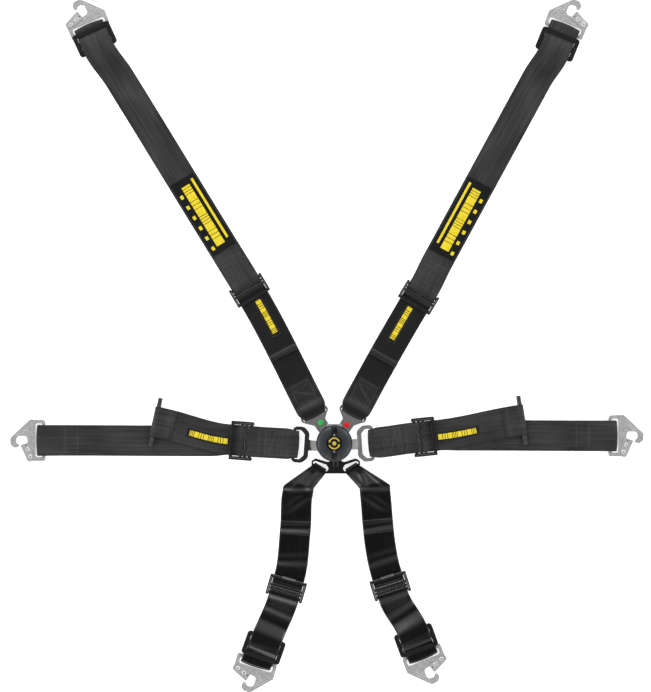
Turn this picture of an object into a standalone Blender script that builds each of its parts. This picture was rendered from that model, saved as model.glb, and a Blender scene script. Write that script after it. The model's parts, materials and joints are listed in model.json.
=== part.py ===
"""Six-point racing harness, laid out flat, as separate hardware and webbing pieces.

Frame: +Z up, origin at the centre of the rotary buckle's back face, +Y towards the shoulder belts.
Every belt leaves the buckle along a route in plan. A route is measured by s, the distance along it
from the bar that the belt pivots on. Lengths here are in millimetres and angles in degrees.
"""
import math

import bmesh
import bpy
from mathutils import Matrix, Vector

MM = 0.001
CLEARANCE = 0.3

# Webbing
WEB_WIDTH = 50.0
WEB_THICK = 1.3
WEB_HALF = WEB_WIDTH / 2
FLOOR_LAYER = 0.92                                  # height of a belt's middle when it lies on the floor
SECOND_LAYER = FLOOR_LAYER + WEB_THICK + 0.33       # one belt lying on another
THIRD_LAYER = SECOND_LAYER + WEB_THICK + 0.33

# Buckle
KNOB_RADIUS = 29.5
KNOB_TOP = 30.0
HOUSING_RADIUS = 29.0
ROOF_RADIUS = 25.0
TONGUE_BOTTOM, TONGUE_TOP = 7.5, 10.0
TONGUE_MIDDLE = (TONGUE_BOTTOM + TONGUE_TOP) / 2
WINDOW_GAP = 0.4
PIN_RADIUS, PIN_CIRCLE = 2.0, 17.0
PIN_HOLE_RADIUS = 2.5

# Bars that webbing turns round
BAR_HALF = 2.25
TONGUE_LOOP = 3.55                                  # radius of the webbing's middle round a tongue's bar

# Adjuster, with p measured from its centre towards the sewn belt
LOCK_BAR_RADIUS = 2.2
LOCK_BAR_HEIGHT = 5.7
LOCK_LOOP = 3.15
END_BAR_HEIGHT = 5.4
END_BAR_HALF = 2.4
END_BAR_THICK = 2.4
END_LOOP = 2.15
END_BAR_INSET = 4.0
FRAME_BOTTOM, FRAME_TOP = 2.0, 9.6
FRAME_WALL = 1.8
LIP_WIDTH, LIP_BOTTOM, LIP_TOP = 5.2, 8.0, 9.5

# Three-bar slide
SLIDE_LENGTH, SLIDE_WIDTH = 39.0, 65.0
SLIDE_BOTTOM, SLIDE_TOP = 9.3, 11.8
SLIDE_LAYER = SLIDE_TOP + 1.0

# Snap hook, with u measured outwards from the outer edge of its webbing slot
HOOK_BOTTOM, HOOK_TOP = 3.1, 6.1
HOOK_BAR_OUTER, HOOK_BAR_INNER = -10.8, -15.8
HOOK_BAR_U = (HOOK_BAR_OUTER + HOOK_BAR_INNER) / 2
HOOK_BAR_BOTTOM, HOOK_BAR_TOP = 3.5, 5.7
HOOK_BAR_Z = (HOOK_BAR_BOTTOM + HOOK_BAR_TOP) / 2
HOOK_LOOP = HOOK_BAR_Z - FLOOR_LAYER
HOOK_LAYER = HOOK_BAR_Z + HOOK_LOOP
GATE_BOTTOM, GATE_TOP = 6.45, 7.25
GATE_END, GATE_TIP = (8.7, 35.0), (17.6, 5.0)       # plan points the leaf spring bends at and swings out to

# Each belt's fittings: plan position and heading in degrees, outwards from the buckle
BELTS = {
    "shoulder_left": {
        "bar": (-33.2, 48.2, 117.5), "adjuster": (-137.9, 248.1, 120.5),
        "slide": (-389.4, 656.1, 114.7), "hook": (-401.5, 682.5, 113.5),
        "straight": [(-170.0, 301.0, 121.8), (-350.0, 594.0, 121.8)], "gate_side": 1, "tail": 120.5,
    },
    "shoulder_right": {
        "bar": (31.3, 49.4, 61.7), "adjuster": (137.2, 236.7, 59.2),
        "slide": (362.8, 648.1, 68.0), "hook": (378.0, 682.5, 67.5),
        "straight": [(168.0, 294.5, 61.4), (330.0, 592.0, 61.4)], "gate_side": -1, "tail": 118.5,
    },
    "crotch_left": {
        "bar": (-24.4, -41.7, -121.5), "adjuster": (-78.1, -236.8, -106.0),
        "slide": (-114.9, -332.7, -109.6), "hook": (-129.3, -366.0, -107.5),
        "straight": [], "gate_side": -1, "tail": 111.0,
    },
    "crotch_right": {
        "bar": (29.4, -41.7, -58.5), "adjuster": (91.1, -232.9, -72.5),
        "slide": (133.0, -320.9, -70.0), "hook": (147.0, -353.3, -67.5),
        "straight": [], "gate_side": 1, "tail": 111.0,
    },
    "lap_left": {
        "bar": (-66.1, -2.1, 176.0), "adjuster": (-150.8, 3.4, 175.5), "hook": (-485.9, 3.8, 180.0),
        "straight": [(-200.0, 2.8, 180.0)], "gate_side": 1, "rod": (-290.6, 33.9, 168.0),
    },
    "lap_right": {
        "bar": (62.2, -0.2, 4.0), "adjuster": (146.4, 9.8, 5.9), "hook": (462.1, 11.2, 0.0),
        "straight": [(205.0, 12.0, 0.0)], "gate_side": -1, "rod": (305.5, 37.2, 9.0),
    },
}
CROTCH_BENDS = {
    "crotch_left": [(-45.0, -60.5, -128.0), (-60.0, -84.0, -94.0), (-63.4, -142.5, -96.0)],
    "crotch_right": [(48.0, -60.5, -52.0), (66.8, -84.0, -86.0), (72.0, -142.5, -84.0)],
}
SHOULDER_NECKS = {"left": 125.0, "right": 56.0}
LAP_RINGS = {"left": (-54.9, -2.9, 176.0), "right": (51.0, -1.0, 4.0)}
YOKE_CENTRE_X = 2.5
ADJUSTER_SIZES = {"shoulder": (32.0, 58.0), "crotch": (33.0, 60.0), "lap": (37.0, 61.5)}
ROD_RADIUS, ROD_LENGTH = 3.75, 80.0

ARC_STEPS = 4


# ---------------------------------------------------------------- scene and materials

def clear_scene():
    for old in list(bpy.data.objects):
        bpy.data.objects.remove(old, do_unlink=True)


def new_collection(name):
    collection = bpy.data.collections.new(name)
    bpy.context.scene.collection.children.link(collection)
    return collection


def new_material(name, colour, roughness, metallic):
    material = bpy.data.materials.new(name)
    material.use_nodes = True
    shader = material.node_tree.nodes["Principled BSDF"]
    shader.inputs["Base Color"].default_value = (*colour, 1.0)
    shader.inputs["Roughness"].default_value = roughness
    shader.inputs["Metallic"].default_value = metallic
    return material


clear_scene()
PARTS = new_collection("racing_harness")
CUTTERS = new_collection("cutters")
WEBBING = new_material("webbing", (0.030, 0.030, 0.031), 0.75, 0.0)
GLOSS_WEBBING = new_material("crotch_webbing", (0.008, 0.008, 0.009), 0.45, 0.0)
BLACK_STEEL = new_material("black_steel", (0.025, 0.025, 0.027), 0.4, 0.6)
PLATE_STEEL = new_material("zinc_plate", (0.52, 0.52, 0.52), 0.45, 0.8)
TONGUE_STEEL = new_material("tongue_steel", (0.28, 0.28, 0.28), 0.35, 0.9)
HOUSING_ALLOY = new_material("housing_alloy", (0.42, 0.42, 0.43), 0.35, 0.9)
KNOB_PLASTIC = new_material("knob_alloy", (0.045, 0.048, 0.052), 0.45, 0.2)
GOLD = new_material("gold_badge", (0.65, 0.47, 0.08), 0.3, 0.9)
SPRING_STEEL = new_material("spring_steel", (0.35, 0.35, 0.36), 0.3, 1.0)


# ---------------------------------------------------------------- modelling tools

def place(x, y, heading, z=0.0):
    """The matrix of a local frame at (x, y, z) whose +X points along heading."""
    return Matrix.Translation(Vector((x, y, z)) * MM) @ Matrix.Rotation(math.radians(heading), 4, "Z")


def add(name, data, material, matrix, collection=PARTS):
    item = bpy.data.objects.new(name, data)
    item.matrix_world = matrix
    if material:
        data.materials.append(material)
    collection.objects.link(item)
    return item


def mark_as_cutter(item):
    for owner in list(item.users_collection):
        owner.objects.unlink(item)
    CUTTERS.objects.link(item)
    item.hide_render = True
    item.display_type = "WIRE"


def rounded(corners, steps=ARC_STEPS):
    """An outline whose corners (x, y, radius) are rounded with arcs of that radius."""
    outline = []
    for index, (x, y, radius) in enumerate(corners):
        here = Vector((x, y))
        before = (Vector(corners[index - 1][:2]) - here).normalized()
        after = (Vector(corners[(index + 1) % len(corners)][:2]) - here).normalized()
        if radius <= 0.0:
            outline.append(here)
            continue
        half = before.angle(after) / 2
        centre = here + (before + after).normalized() * (radius / math.sin(half))
        start = here + before * (radius / math.tan(half)) - centre
        sweep = start.angle_signed(here + after * (radius / math.tan(half)) - centre)
        for step in range(steps + 1):
            turn = -sweep * step / steps
            outline.append(centre + Matrix.Rotation(turn, 2) @ start)
    return outline


def circle(x, y, radius, steps=20):
    turns = [2 * math.pi * step / steps for step in range(steps)]
    return [Vector((x + radius * math.cos(turn), y + radius * math.sin(turn))) for turn in turns]


def flat_plate(name, outlines, bottom, top, matrix, material):
    """A plate with holes: the first outline is its edge, and the others are its holes."""
    curve = bpy.data.curves.new(name, "CURVE")
    curve.dimensions = "2D"
    curve.fill_mode = "BOTH"
    curve.extrude = (top - bottom) / 2 * MM
    for outline in outlines:
        spline = curve.splines.new("POLY")
        spline.points.add(len(outline) - 1)
        for point, corner in zip(spline.points, outline):
            point.co = (corner[0] * MM, corner[1] * MM, 0.0, 1.0)
        spline.use_cyclic_u = True
    lift = Matrix.Translation((0.0, 0.0, (bottom + top) / 2 * MM))
    return add(name, curve, material, matrix @ lift)


def as_mesh(item):
    """The same shape as a mesh with its caps welded, so that it can be cut."""
    bpy.context.view_layer.update()
    evaluated = item.evaluated_get(bpy.context.evaluated_depsgraph_get())
    mesh = bpy.data.meshes.new_from_object(evaluated)
    shell = bmesh.new()
    shell.from_mesh(mesh)
    bmesh.ops.remove_doubles(shell, verts=shell.verts, dist=0.00001)
    bmesh.ops.recalc_face_normals(shell, faces=shell.faces)
    shell.to_mesh(mesh)
    shell.free()
    name = item.name
    matrix = item.matrix_world.copy()
    bpy.data.objects.remove(item, do_unlink=True)
    mesh.name = name
    return add(name, mesh, None, matrix)


def box(name, low, high, matrix, material=None):
    """A box between two opposite corners in a local frame."""
    shell = bmesh.new()
    size = [(top - bottom) * MM for bottom, top in zip(low, high)]
    middle = [(top + bottom) / 2 * MM for bottom, top in zip(low, high)]
    bmesh.ops.create_cube(shell, size=1.0)
    bmesh.ops.scale(shell, vec=size, verts=shell.verts)
    bmesh.ops.translate(shell, vec=middle, verts=shell.verts)
    mesh = bpy.data.meshes.new(name)
    shell.to_mesh(mesh)
    shell.free()
    return add(name, mesh, material, matrix)


def cylinder(name, radius, low, high, matrix, material=None, segments=32):
    """A cylinder along the local Z axis, between two heights."""
    shell = bmesh.new()
    bmesh.ops.create_cone(
        shell, cap_ends=True, segments=segments, radius1=radius * MM, radius2=radius * MM,
        depth=(high - low) * MM)
    bmesh.ops.translate(shell, vec=(0.0, 0.0, (high + low) / 2 * MM), verts=shell.verts)
    mesh = bpy.data.meshes.new(name)
    shell.to_mesh(mesh)
    shell.free()
    smooth(mesh)
    return add(name, mesh, material, matrix)


def smooth(mesh, angle=35.0):
    mesh.shade_smooth()
    mesh.set_sharp_from_angle(angle=math.radians(angle))


def turned(name, profile, material, closed, steps=48):
    """A shape turned about the Z axis from (radius, height) points."""
    mesh = bpy.data.meshes.new(name)
    count = len(profile)
    edges = [(index, index + 1) for index in range(count - 1)]
    if closed:
        edges.append((count - 1, 0))
    mesh.from_pydata([(radius * MM, 0.0, height * MM) for radius, height in profile], edges, [])
    item = add(name, mesh, material, Matrix.Identity(4))
    screw = item.modifiers.new("turn", "SCREW")
    screw.steps = steps
    screw.render_steps = steps
    screw.use_merge_vertices = True
    screw.merge_threshold = 0.00001
    screw.use_smooth_shade = False
    return item


def combine(item, other, operation):
    """Cuts the other shape out of the item, or joins it on."""
    mark_as_cutter(other)
    boolean = item.modifiers.new(other.name, "BOOLEAN")
    boolean.operation = operation
    boolean.solver = "EXACT"
    boolean.object = other
    return item


def cut(item, other):
    return combine(item, other, "DIFFERENCE")


def join(item, other):
    return combine(item, other, "UNION")


# ---------------------------------------------------------------- routes and webbing

class Route:
    """A smooth plan curve through fittings. Each fitting keeps the curve straight over its length."""

    def __init__(self, fittings):
        self.points = []
        middles = []
        last_end = None
        for x, y, heading, back, front in fittings:
            along = Vector((math.cos(math.radians(heading)), math.sin(math.radians(heading))))
            middle = Vector((x, y))
            start = (middle - along * back, along)
            if last_end is None:
                self.points.append(start[0])
            else:
                self.add_curve(last_end, start)
            last_end = (middle + along * front, along)
            self.add_curve(start, (middle, along))
            middles.append(len(self.points) - 1)
            self.add_curve((middle, along), last_end)
        self.lengths = [0.0]
        for before, after in zip(self.points, self.points[1:]):
            self.lengths.append(self.lengths[-1] + (after - before).length)
        self.stops = [self.lengths[index] for index in middles]

    def add_curve(self, start, end, step=2.0):
        (a, along_a), (b, along_b) = start, end
        chord = (b - a).length
        if chord < 0.01:
            return
        count = max(1, round(chord / step))
        for index in range(1, count + 1):
            t = index / count
            h00, h10 = 2 * t**3 - 3 * t**2 + 1, t**3 - 2 * t**2 + t
            h01, h11 = -2 * t**3 + 3 * t**2, t**3 - t**2
            self.points.append(a * h00 + along_a * chord * h10 + b * h01 + along_b * chord * h11)

    def at(self, s):
        """The plan position and the unit heading at distance s from the first fitting's centre."""
        s = s + self.stops[0]
        last = len(self.points) - 2
        index = 0
        while index < last and self.lengths[index + 1] < s:
            index += 1
        along = (self.points[index + 1] - self.points[index]).normalized()
        return self.points[index] + along * (s - self.lengths[index]), along

    def station(self, number):
        """The distance from the first fitting's centre to that of the numbered one."""
        return self.stops[number] - self.stops[0]

    def heading(self, s, spread=3.0):
        """The heading at s, averaged over a short stretch so that the belt's edges stay smooth."""
        total = Vector((0.0, 0.0))
        for offset in (-spread, 0.0, spread):
            total += self.at(s + offset)[1]
        return total.normalized()


def arc(centre_s, centre_z, radius, start, end, steps=8):
    """Points (s, z) round a bar, from one angle to another in degrees."""
    turns = [math.radians(start + (end - start) * step / steps) for step in range(steps + 1)]
    return [(centre_s + radius * math.cos(turn), centre_z + radius * math.sin(turn)) for turn in turns]


def filled_in(path, longest=12.0, shortest=0.05):
    """The path without its repeated points, and with points added where a step is too long."""
    dense = [path[0]]
    for before, after in zip(path, path[1:]):
        if math.dist(before, after) < shortest:
            continue
        count = max(1, math.ceil(abs(after[0] - before[0]) / longest))
        for index in range(1, count + 1):
            t = index / count
            dense.append(tuple(a + (b - a) * t for a, b in zip(before, after)))
    return dense


def strap(name, path, route, material, half_width=None):
    """Webbing lofted along a path of (s, z) points over a route, with Solidify for its thickness.

    half_width gives half the belt's width at s. The belt's cross lines stay square to the route.
    """
    half_width = half_width or (lambda s: WEB_HALF)
    mesh = bpy.data.meshes.new(name)
    shell = bmesh.new()
    rows = []
    for s, z in filled_in(path):
        middle, _ = route.at(s)
        along = route.heading(s)
        across = Vector((-along.y, along.x)) * half_width(s)
        edges = (middle - across, middle + across)
        rows.append([shell.verts.new((edge.x * MM, edge.y * MM, z * MM)) for edge in edges])
    for (a, b), (c, d) in zip(rows, rows[1:]):
        shell.faces.new((a, b, d, c))
    shell.to_mesh(mesh)
    shell.free()
    item = add(name, mesh, material, Matrix.Identity(4))
    solidify = item.modifiers.new("thickness", "SOLIDIFY")
    solidify.thickness = WEB_THICK * MM
    solidify.offset = 0.0
    solidify.use_even_offset = True
    return item


# ---------------------------------------------------------------- buckle

def buckle_back_plate():
    profile = [(0.0, 3.0), (27.4, 3.0), (28.0, 2.4), (28.0, 0.0), (0.0, 0.0)]
    turned("buckle_back_plate", profile, HOUSING_ALLOY, closed=False)


def tongue_windows():
    """Plan frames and half widths of the slots through which the tongues enter the housing."""
    slots = [(place(0, 0, angle), 11.2) for angle in SHOULDER_NECKS.values()]
    for x, y, heading in LAP_RINGS.values():
        slots.append((place(x, y, heading) @ Matrix.Translation((-math.hypot(x, y) * MM, 0, 0)), 9.3))
    slots.append((place(YOKE_CENTRE_X, 0, -90.0), 9.8))
    return slots


def buckle_housing():
    profile = [
        (4.6, 20.4), (ROOF_RADIUS - 1, 20.4), (ROOF_RADIUS, 19.4), (ROOF_RADIUS, 15.2),
        (HOUSING_RADIUS, 15.2), (HOUSING_RADIUS, 3.4), (23.0, 3.4), (23.0, 18.6), (4.6, 18.6)]
    housing = turned("buckle_housing", profile, HOUSING_ALLOY, closed=True)
    join(housing, box("crown_lug", (-12.0, 25.0, 4.0), (12.0, 31.2, 13.0), Matrix.Identity(4)))
    for number, (matrix, half) in enumerate(tongue_windows()):
        low = (14.0, -half, TONGUE_BOTTOM - WINDOW_GAP)
        high = (36.0, half, TONGUE_TOP + WINDOW_GAP)
        cut(housing, box(f"window_{number}", low, high, matrix))


def buckle_knob():
    profile = [
        (0.0, KNOB_TOP), (23.5, KNOB_TOP), (28.6, 26.6), (KNOB_RADIUS, 25.0), (KNOB_RADIUS, 15.6),
        (27.3, 15.6), (27.3, 24.2), (8.0, 24.2), (8.0, 21.2), (4.3, 21.2), (4.3, 24.6), (0.0, 24.6)]
    knob = turned("buckle_knob", profile, KNOB_PLASTIC, closed=False)
    cut(knob, cylinder("badge_recess", 13.0, 26.4, 33.0, place(0, 0, 22.5), segments=8))
    for number, side in enumerate((1, -1)):
        low, high = sorted((side * 9.0, side * 34.0))
        cut(knob, box(f"finger_groove_{number}", (-4.2, low, 27.8), (4.2, high, 33.0), Matrix.Identity(4)))


def buckle_inside():
    cylinder("buckle_badge", 8.3, 26.7, 28.2, Matrix.Identity(4), GOLD, segments=32)
    cylinder("buckle_spindle", 3.6, 3.4, 24.2, Matrix.Identity(4), TONGUE_STEEL, segments=20)
    plate = turned(
        "latch_pin_plate", [(4.6, 14.3), (21.5, 14.3), (21.5, 12.3), (4.6, 12.3)], TONGUE_STEEL, closed=True,
        steps=40)
    for number, (x, y) in enumerate(pin_places()):
        pin = cylinder(f"pin_{number}", PIN_RADIUS, TONGUE_TOP + CLEARANCE, 13.3, place(x, y, 0), segments=12)
        join(plate, pin)
    return_spring()


def pin_places():
    """Plan positions of the latch pins, one over each tongue that releases."""
    places = []
    for angle in SHOULDER_NECKS.values():
        places.append((PIN_CIRCLE * math.cos(math.radians(angle)), PIN_CIRCLE * math.sin(math.radians(angle))))
    x, y, heading = LAP_RINGS["right"]
    back = PIN_CIRCLE - math.hypot(x, y)
    places.append((x + back * math.cos(math.radians(heading)), y + back * math.sin(math.radians(heading))))
    places.append((YOKE_CENTRE_X, -PIN_CIRCLE))
    return places


def return_spring(radius=12.5, wire=0.5, turns=2, low=21.1, pitch=1.15, per_turn=18):
    curve = bpy.data.curves.new("knob_return_spring", "CURVE")
    curve.dimensions = "3D"
    curve.bevel_depth = wire * MM
    curve.bevel_resolution = 2
    curve.use_fill_caps = True
    spline = curve.splines.new("POLY")
    count = turns * per_turn + 1
    spline.points.add(count - 1)
    for index, point in enumerate(spline.points):
        turn = 2 * math.pi * index / per_turn
        height = low + pitch * index / per_turn
        point.co = (radius * math.cos(turn) * MM, radius * math.sin(turn) * MM, height * MM, 1.0)
    add("knob_return_spring", curve, SPRING_STEEL, Matrix.Identity(4))


# ---------------------------------------------------------------- tongues

def shoulder_tongue(side):
    """A bent-head tongue: a radial neck, and a head turned square to its belt."""
    x, y, heading = BELTS[f"shoulder_{side}"]["bar"]
    matrix = place(x, y, heading)
    neck_turn = math.radians(SHOULDER_NECKS[side] - heading)
    inner = matrix.inverted() @ Vector((0.0, 0.0, 0.0)) / MM
    along = Vector((math.cos(neck_turn), math.sin(neck_turn)))
    across = Vector((-along.y, along.x))
    centre = Vector((inner.x, inner.y))

    def neck(distance, offset):
        point = centre + along * distance + across * offset
        return point.x, point.y

    corners = [
        (*neck(12.0, -4.5), 1.0), (*neck(24.0, -10.5), 1.5), (*neck(41.0, -10.5), 4.0),
        (-10.5, -18.0, 3.0), (-5.0, -24.0, 5.0), (2.4, -24.0, 3.0), (2.4, 24.0, 3.0), (-5.0, 24.0, 5.0),
        (-10.5, 18.0, 3.0), (*neck(41.0, 10.5), 4.0), (*neck(24.0, 10.5), 1.5), (*neck(12.0, 4.5), 1.0)]
    slot = rounded([(-5.6, -20.5, 1.4), (-BAR_HALF, -20.5, 1.4), (-BAR_HALF, 20.5, 1.4), (-5.6, 20.5, 1.4)])
    hole = centre + along * PIN_CIRCLE
    flat_plate(
        f"shoulder_tongue_{side}", [rounded(corners), slot, circle(hole.x, hole.y, PIN_HOLE_RADIUS)],
        TONGUE_BOTTOM, TONGUE_TOP, matrix, TONGUE_STEEL)


def lap_ring(name, side, material, with_hole):
    """A lap tongue whose head is a D-shaped ring, with a narrow neck into the buckle."""
    x, y, heading = LAP_RINGS[side]
    reach = math.hypot(x, y)
    corners = [
        (12.5 - reach, -5.0, 1.0), (20.0 - reach, -8.5, 1.5), (-13.0, -8.5, 2.0), (-14.0, -20.0, 10.0),
        (-4.0, -29.5, 10.0), (13.7, -29.5, 7.0), (13.7, 29.5, 7.0), (-4.0, 29.5, 10.0),
        (-14.0, 20.0, 10.0), (-13.0, 8.5, 2.0), (20.0 - reach, 8.5, 1.5), (12.5 - reach, 5.0, 1.0)]
    slot = rounded([(-6.0, -17.0, 5.0), (0.5, -23.6, 4.0), (11.2 - BAR_HALF, -23.6, 2.0),
                    (11.2 - BAR_HALF, 23.6, 2.0), (0.5, 23.6, 4.0), (-6.0, 17.0, 5.0)])
    outlines = [rounded(corners), slot]
    if with_hole:
        outlines.append(circle(PIN_CIRCLE - reach, 0.0, PIN_HOLE_RADIUS))
    flat_plate(name, outlines, TONGUE_BOTTOM, TONGUE_TOP, place(x, y, heading), material)


def crotch_yoke():
    """One plate with a neck into the buckle and a slanted slot on each side for the crotch belts."""
    half = [
        (5.0, -12.5, 1.0), (9.0, -19.0, 1.5), (9.0, -30.0, 3.0), (14.0, -31.0, 4.0), (32.5, -25.2, 3.0),
        (39.5, -29.3, 4.0), (39.5, -36.6, 2.5), (18.0, -49.8, 4.0)]
    corners = [(x, y, r) for x, y, r in half] + [(-x, y, r) for x, y, r in reversed(half)]
    slot = [
        (33.0, -29.4, 1.5), (36.9, -31.2, 1.2), (36.8, -33.0, 0.8), (14.6, -46.6, 1.5), (11.6, -41.5, 1.5),
        (15.0, -35.5, 2.0)]
    slots = [rounded([(side * x, y, r) for x, y, r in slot]) for side in (1, -1)]
    hole = circle(0.0, -PIN_CIRCLE, PIN_HOLE_RADIUS)
    flat_plate(
        "crotch_yoke", [rounded(corners), *slots, hole], TONGUE_BOTTOM, TONGUE_TOP,
        place(YOKE_CENTRE_X, 0, 0), BLACK_STEEL)


# ---------------------------------------------------------------- adjuster, slide and hook

def end_bar_offset(kind):
    return ADJUSTER_SIZES[kind][0] / 2 - END_BAR_INSET


def adjuster(belt, kind, sewn_side):
    """The adjuster's frame and its lock bar. sewn_side is 1 if the sewn belt leaves outwards."""
    length, width = ADJUSTER_SIZES[kind]
    x, y, heading = BELTS[belt]["adjuster"]
    matrix = place(x, y, heading if sewn_side > 0 else heading + 180.0)
    half_length, half_width = length / 2, width / 2
    inside = half_width - FRAME_WALL
    frame = box(
        f"{belt}_adjuster_frame", (-half_length, inside, FRAME_BOTTOM), (half_length, half_width, FRAME_TOP),
        matrix, BLACK_STEEL)
    end, into_wall = end_bar_offset(kind), inside + 1
    pieces = {
        "lip": ((-half_length + 0.5, -into_wall, LIP_BOTTOM), (-half_length + LIP_WIDTH, into_wall, LIP_TOP)),
        "end": ((end - END_BAR_HALF, -into_wall, END_BAR_HEIGHT - END_BAR_THICK / 2),
                (end + END_BAR_HALF, into_wall, END_BAR_HEIGHT + END_BAR_THICK / 2)),
        "wall": ((-half_length, -half_width, FRAME_BOTTOM), (half_length, -inside, FRAME_TOP)),
    }
    for piece, (low, high) in pieces.items():
        join(frame, box(f"{belt}_{piece}", low, high, matrix))
    lock = matrix @ Matrix.Translation((0, 0, LOCK_BAR_HEIGHT * MM)) @ Matrix.Rotation(math.pi / 2, 4, "X")
    reach = inside - 0.4
    cylinder(f"{belt}_lock_bar", LOCK_BAR_RADIUS, -reach, reach, lock, BLACK_STEEL, segments=16)


def tail_path(length, hem=True):
    """The webbing round the lock bar and the tail on top of the belt, along p, away from the sewn side."""
    path = [(4.0, SECOND_LAYER), (1.0, SECOND_LAYER)]
    path += arc(0.0, LOCK_BAR_HEIGHT, LOCK_LOOP, -90.0, -270.0, steps=10)
    path += [(2.5, 8.7), (9.0, 6.7), (14.0, 5.6), (22.0, 3.9), (29.0, 2.8), (34.0, SECOND_LAYER)]
    if hem:
        middle, radius = (SECOND_LAYER + THIRD_LAYER) / 2, (THIRD_LAYER - SECOND_LAYER) / 2
        path += [(length - 2.0, SECOND_LAYER)]
        path += arc(length - 1.5, middle, radius, -90.0, 90.0, steps=6)
        path += [(length - 10.0, THIRD_LAYER)]
    return path


def sewn_end(bar_s, far):
    """The loop round an adjuster's end bar: the return layer, the loop, and the belt on top of it."""
    path = [(bar_s + far, SECOND_LAYER), (bar_s + 9.0, SECOND_LAYER), (bar_s + 3.0, END_BAR_HEIGHT - END_LOOP)]
    path += arc(bar_s - 2.0, END_BAR_HEIGHT, END_LOOP, -90.0, -270.0)
    path += [(bar_s + 3.5, END_BAR_HEIGHT + END_LOOP), (bar_s + 13.0, THIRD_LAYER + 0.1),
             (bar_s + far + 2.0, THIRD_LAYER), (bar_s + far + 16.0, FLOOR_LAYER)]
    return path


def three_bar_slide(belt):
    x, y, heading = BELTS[belt]["slide"]
    half_length, half_width = SLIDE_LENGTH / 2, SLIDE_WIDTH / 2
    edge = rounded([(-half_length, -half_width, 5.0), (half_length, -half_width, 5.0),
                    (half_length, half_width, 5.0), (-half_length, half_width, 5.0)])
    slots = []
    for low, high in ((4.1, 12.7), (-12.7, -4.1)):
        slots.append(rounded([(low, -26.6, 1.5), (high, -26.6, 1.5), (high, 26.6, 1.5), (low, 26.6, 1.5)]))
    flat_plate(
        f"{belt}_three_bar_slide", [edge, *slots], SLIDE_BOTTOM, SLIDE_TOP, place(x, y, heading), BLACK_STEEL)


def hook_plate(belt):
    """The snap hook's plate: a webbing slot with a thin bar, and an eye with a mouth at one side."""
    x, y, heading = BELTS[belt]["hook"]
    side = BELTS[belt]["gate_side"]
    corners = [
        (HOOK_BAR_INNER, -33.5, 5.0), (9.2, -34.3, 4.0), (37.5, -8.0, 6.0), (41.6, -3.5, 5.0), (40.6, 7.5, 5.0),
        (34.0, 12.4, 5.0), (27.6, 10.6, 1.2), (27.4, 6.4, 1.0), (31.9, 4.2, 4.0), (31.3, -6.6, 5.5),
        (14.4, -7.6, 5.5), (13.0, 2.0, 3.0), (15.2, 8.6, 2.0), (19.4, 12.8, 1.5), (15.2, 27.5, 4.0),
        (11.5, 33.4, 3.0), (HOOK_BAR_INNER, 33.4, 2.5)]
    slot = [(HOOK_BAR_OUTER, -28.2, 3.0), (0.4, -28.2, 4.0), (0.4, 27.4, 4.0), (HOOK_BAR_OUTER, 27.4, 3.0)]
    outlines = [rounded([(u, side * v, r) for u, v, r in outline]) for outline in (corners, slot)]
    matrix = place(x, y, heading)
    plate = flat_plate(f"{belt}_hook_plate", outlines, HOOK_BOTTOM, HOOK_TOP, matrix, PLATE_STEEL)
    plate = as_mesh(plate)
    low_v, high_v = sorted((side * -28.0, side * 27.2))
    for number, (bottom, top) in enumerate(((0.0, HOOK_BAR_BOTTOM), (HOOK_BAR_TOP, 9.0))):
        step = box(f"{belt}_bar_step_{number}", (HOOK_BAR_INNER - 2, low_v, bottom),
                   (HOOK_BAR_OUTER + 2, high_v, top), matrix)
        cut(plate, step)


def hook_gate(belt):
    """The leaf spring across the hook's mouth, with its two rivet heads."""
    x, y, heading = BELTS[belt]["hook"]
    side = BELTS[belt]["gate_side"]
    corners = [(24.9, 7.4, 1.5), (10.4, 2.6, 1.5), (4.6, 21.0, 8.0), (4.9, 34.4, 4.0), (12.6, 34.6, 4.0)]
    matrix = place(x, y, heading)
    outline = rounded([(u, side * v, r) for u, v, r in corners])
    gate = as_mesh(flat_plate(f"{belt}_hook_gate", [outline], GATE_BOTTOM, GATE_TOP, matrix, SPRING_STEEL))
    for number, (u, v) in enumerate(((13.0, 14.2), (8.8, 26.0))):
        head = matrix @ Matrix.Translation((u * MM, side * v * MM, 0.0))
        join(gate, cylinder(f"{belt}_rivet_{number}", 2.6, GATE_BOTTOM + 0.3, 8.3, head, segments=14))


def hook_end(hook_s, return_to):
    """The belt over the hook's bar, round it and back beneath, ending at return_to."""
    path = [(hook_s + HOOK_BAR_U, HOOK_LAYER), (hook_s - 5.0, HOOK_LAYER)]
    path += arc(hook_s - 5.0, HOOK_BAR_Z, HOOK_LOOP, 90.0, -90.0, steps=10)
    path += [(return_to, FLOOR_LAYER)]
    return path


# ---------------------------------------------------------------- belts

def bar_end(far, sink=45.0):
    """The loop round a tongue's bar at s=0: the return layer from far, the loop, and the belt on top."""
    path = [(far, FLOOR_LAYER + 0.05), (6.0, TONGUE_MIDDLE - TONGUE_LOOP - 0.4)]
    path += arc(0.0, TONGUE_MIDDLE, TONGUE_LOOP, -90.0, -270.0, steps=10)
    path += [(5.0, TONGUE_MIDDLE + TONGUE_LOOP - 0.4), (sink, SECOND_LAYER + 0.15), (sink + 15.0, FLOOR_LAYER)]
    return path


def widening(narrow, start, end):
    """Half the width of a belt that is gathered at its bar and reaches full width at s=end."""
    def half_width(s):
        t = min(1.0, max(0.0, (s - start) / (end - start)))
        return narrow + (WEB_HALF - narrow) * t * t * (3 - 2 * t)
    return half_width


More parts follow.
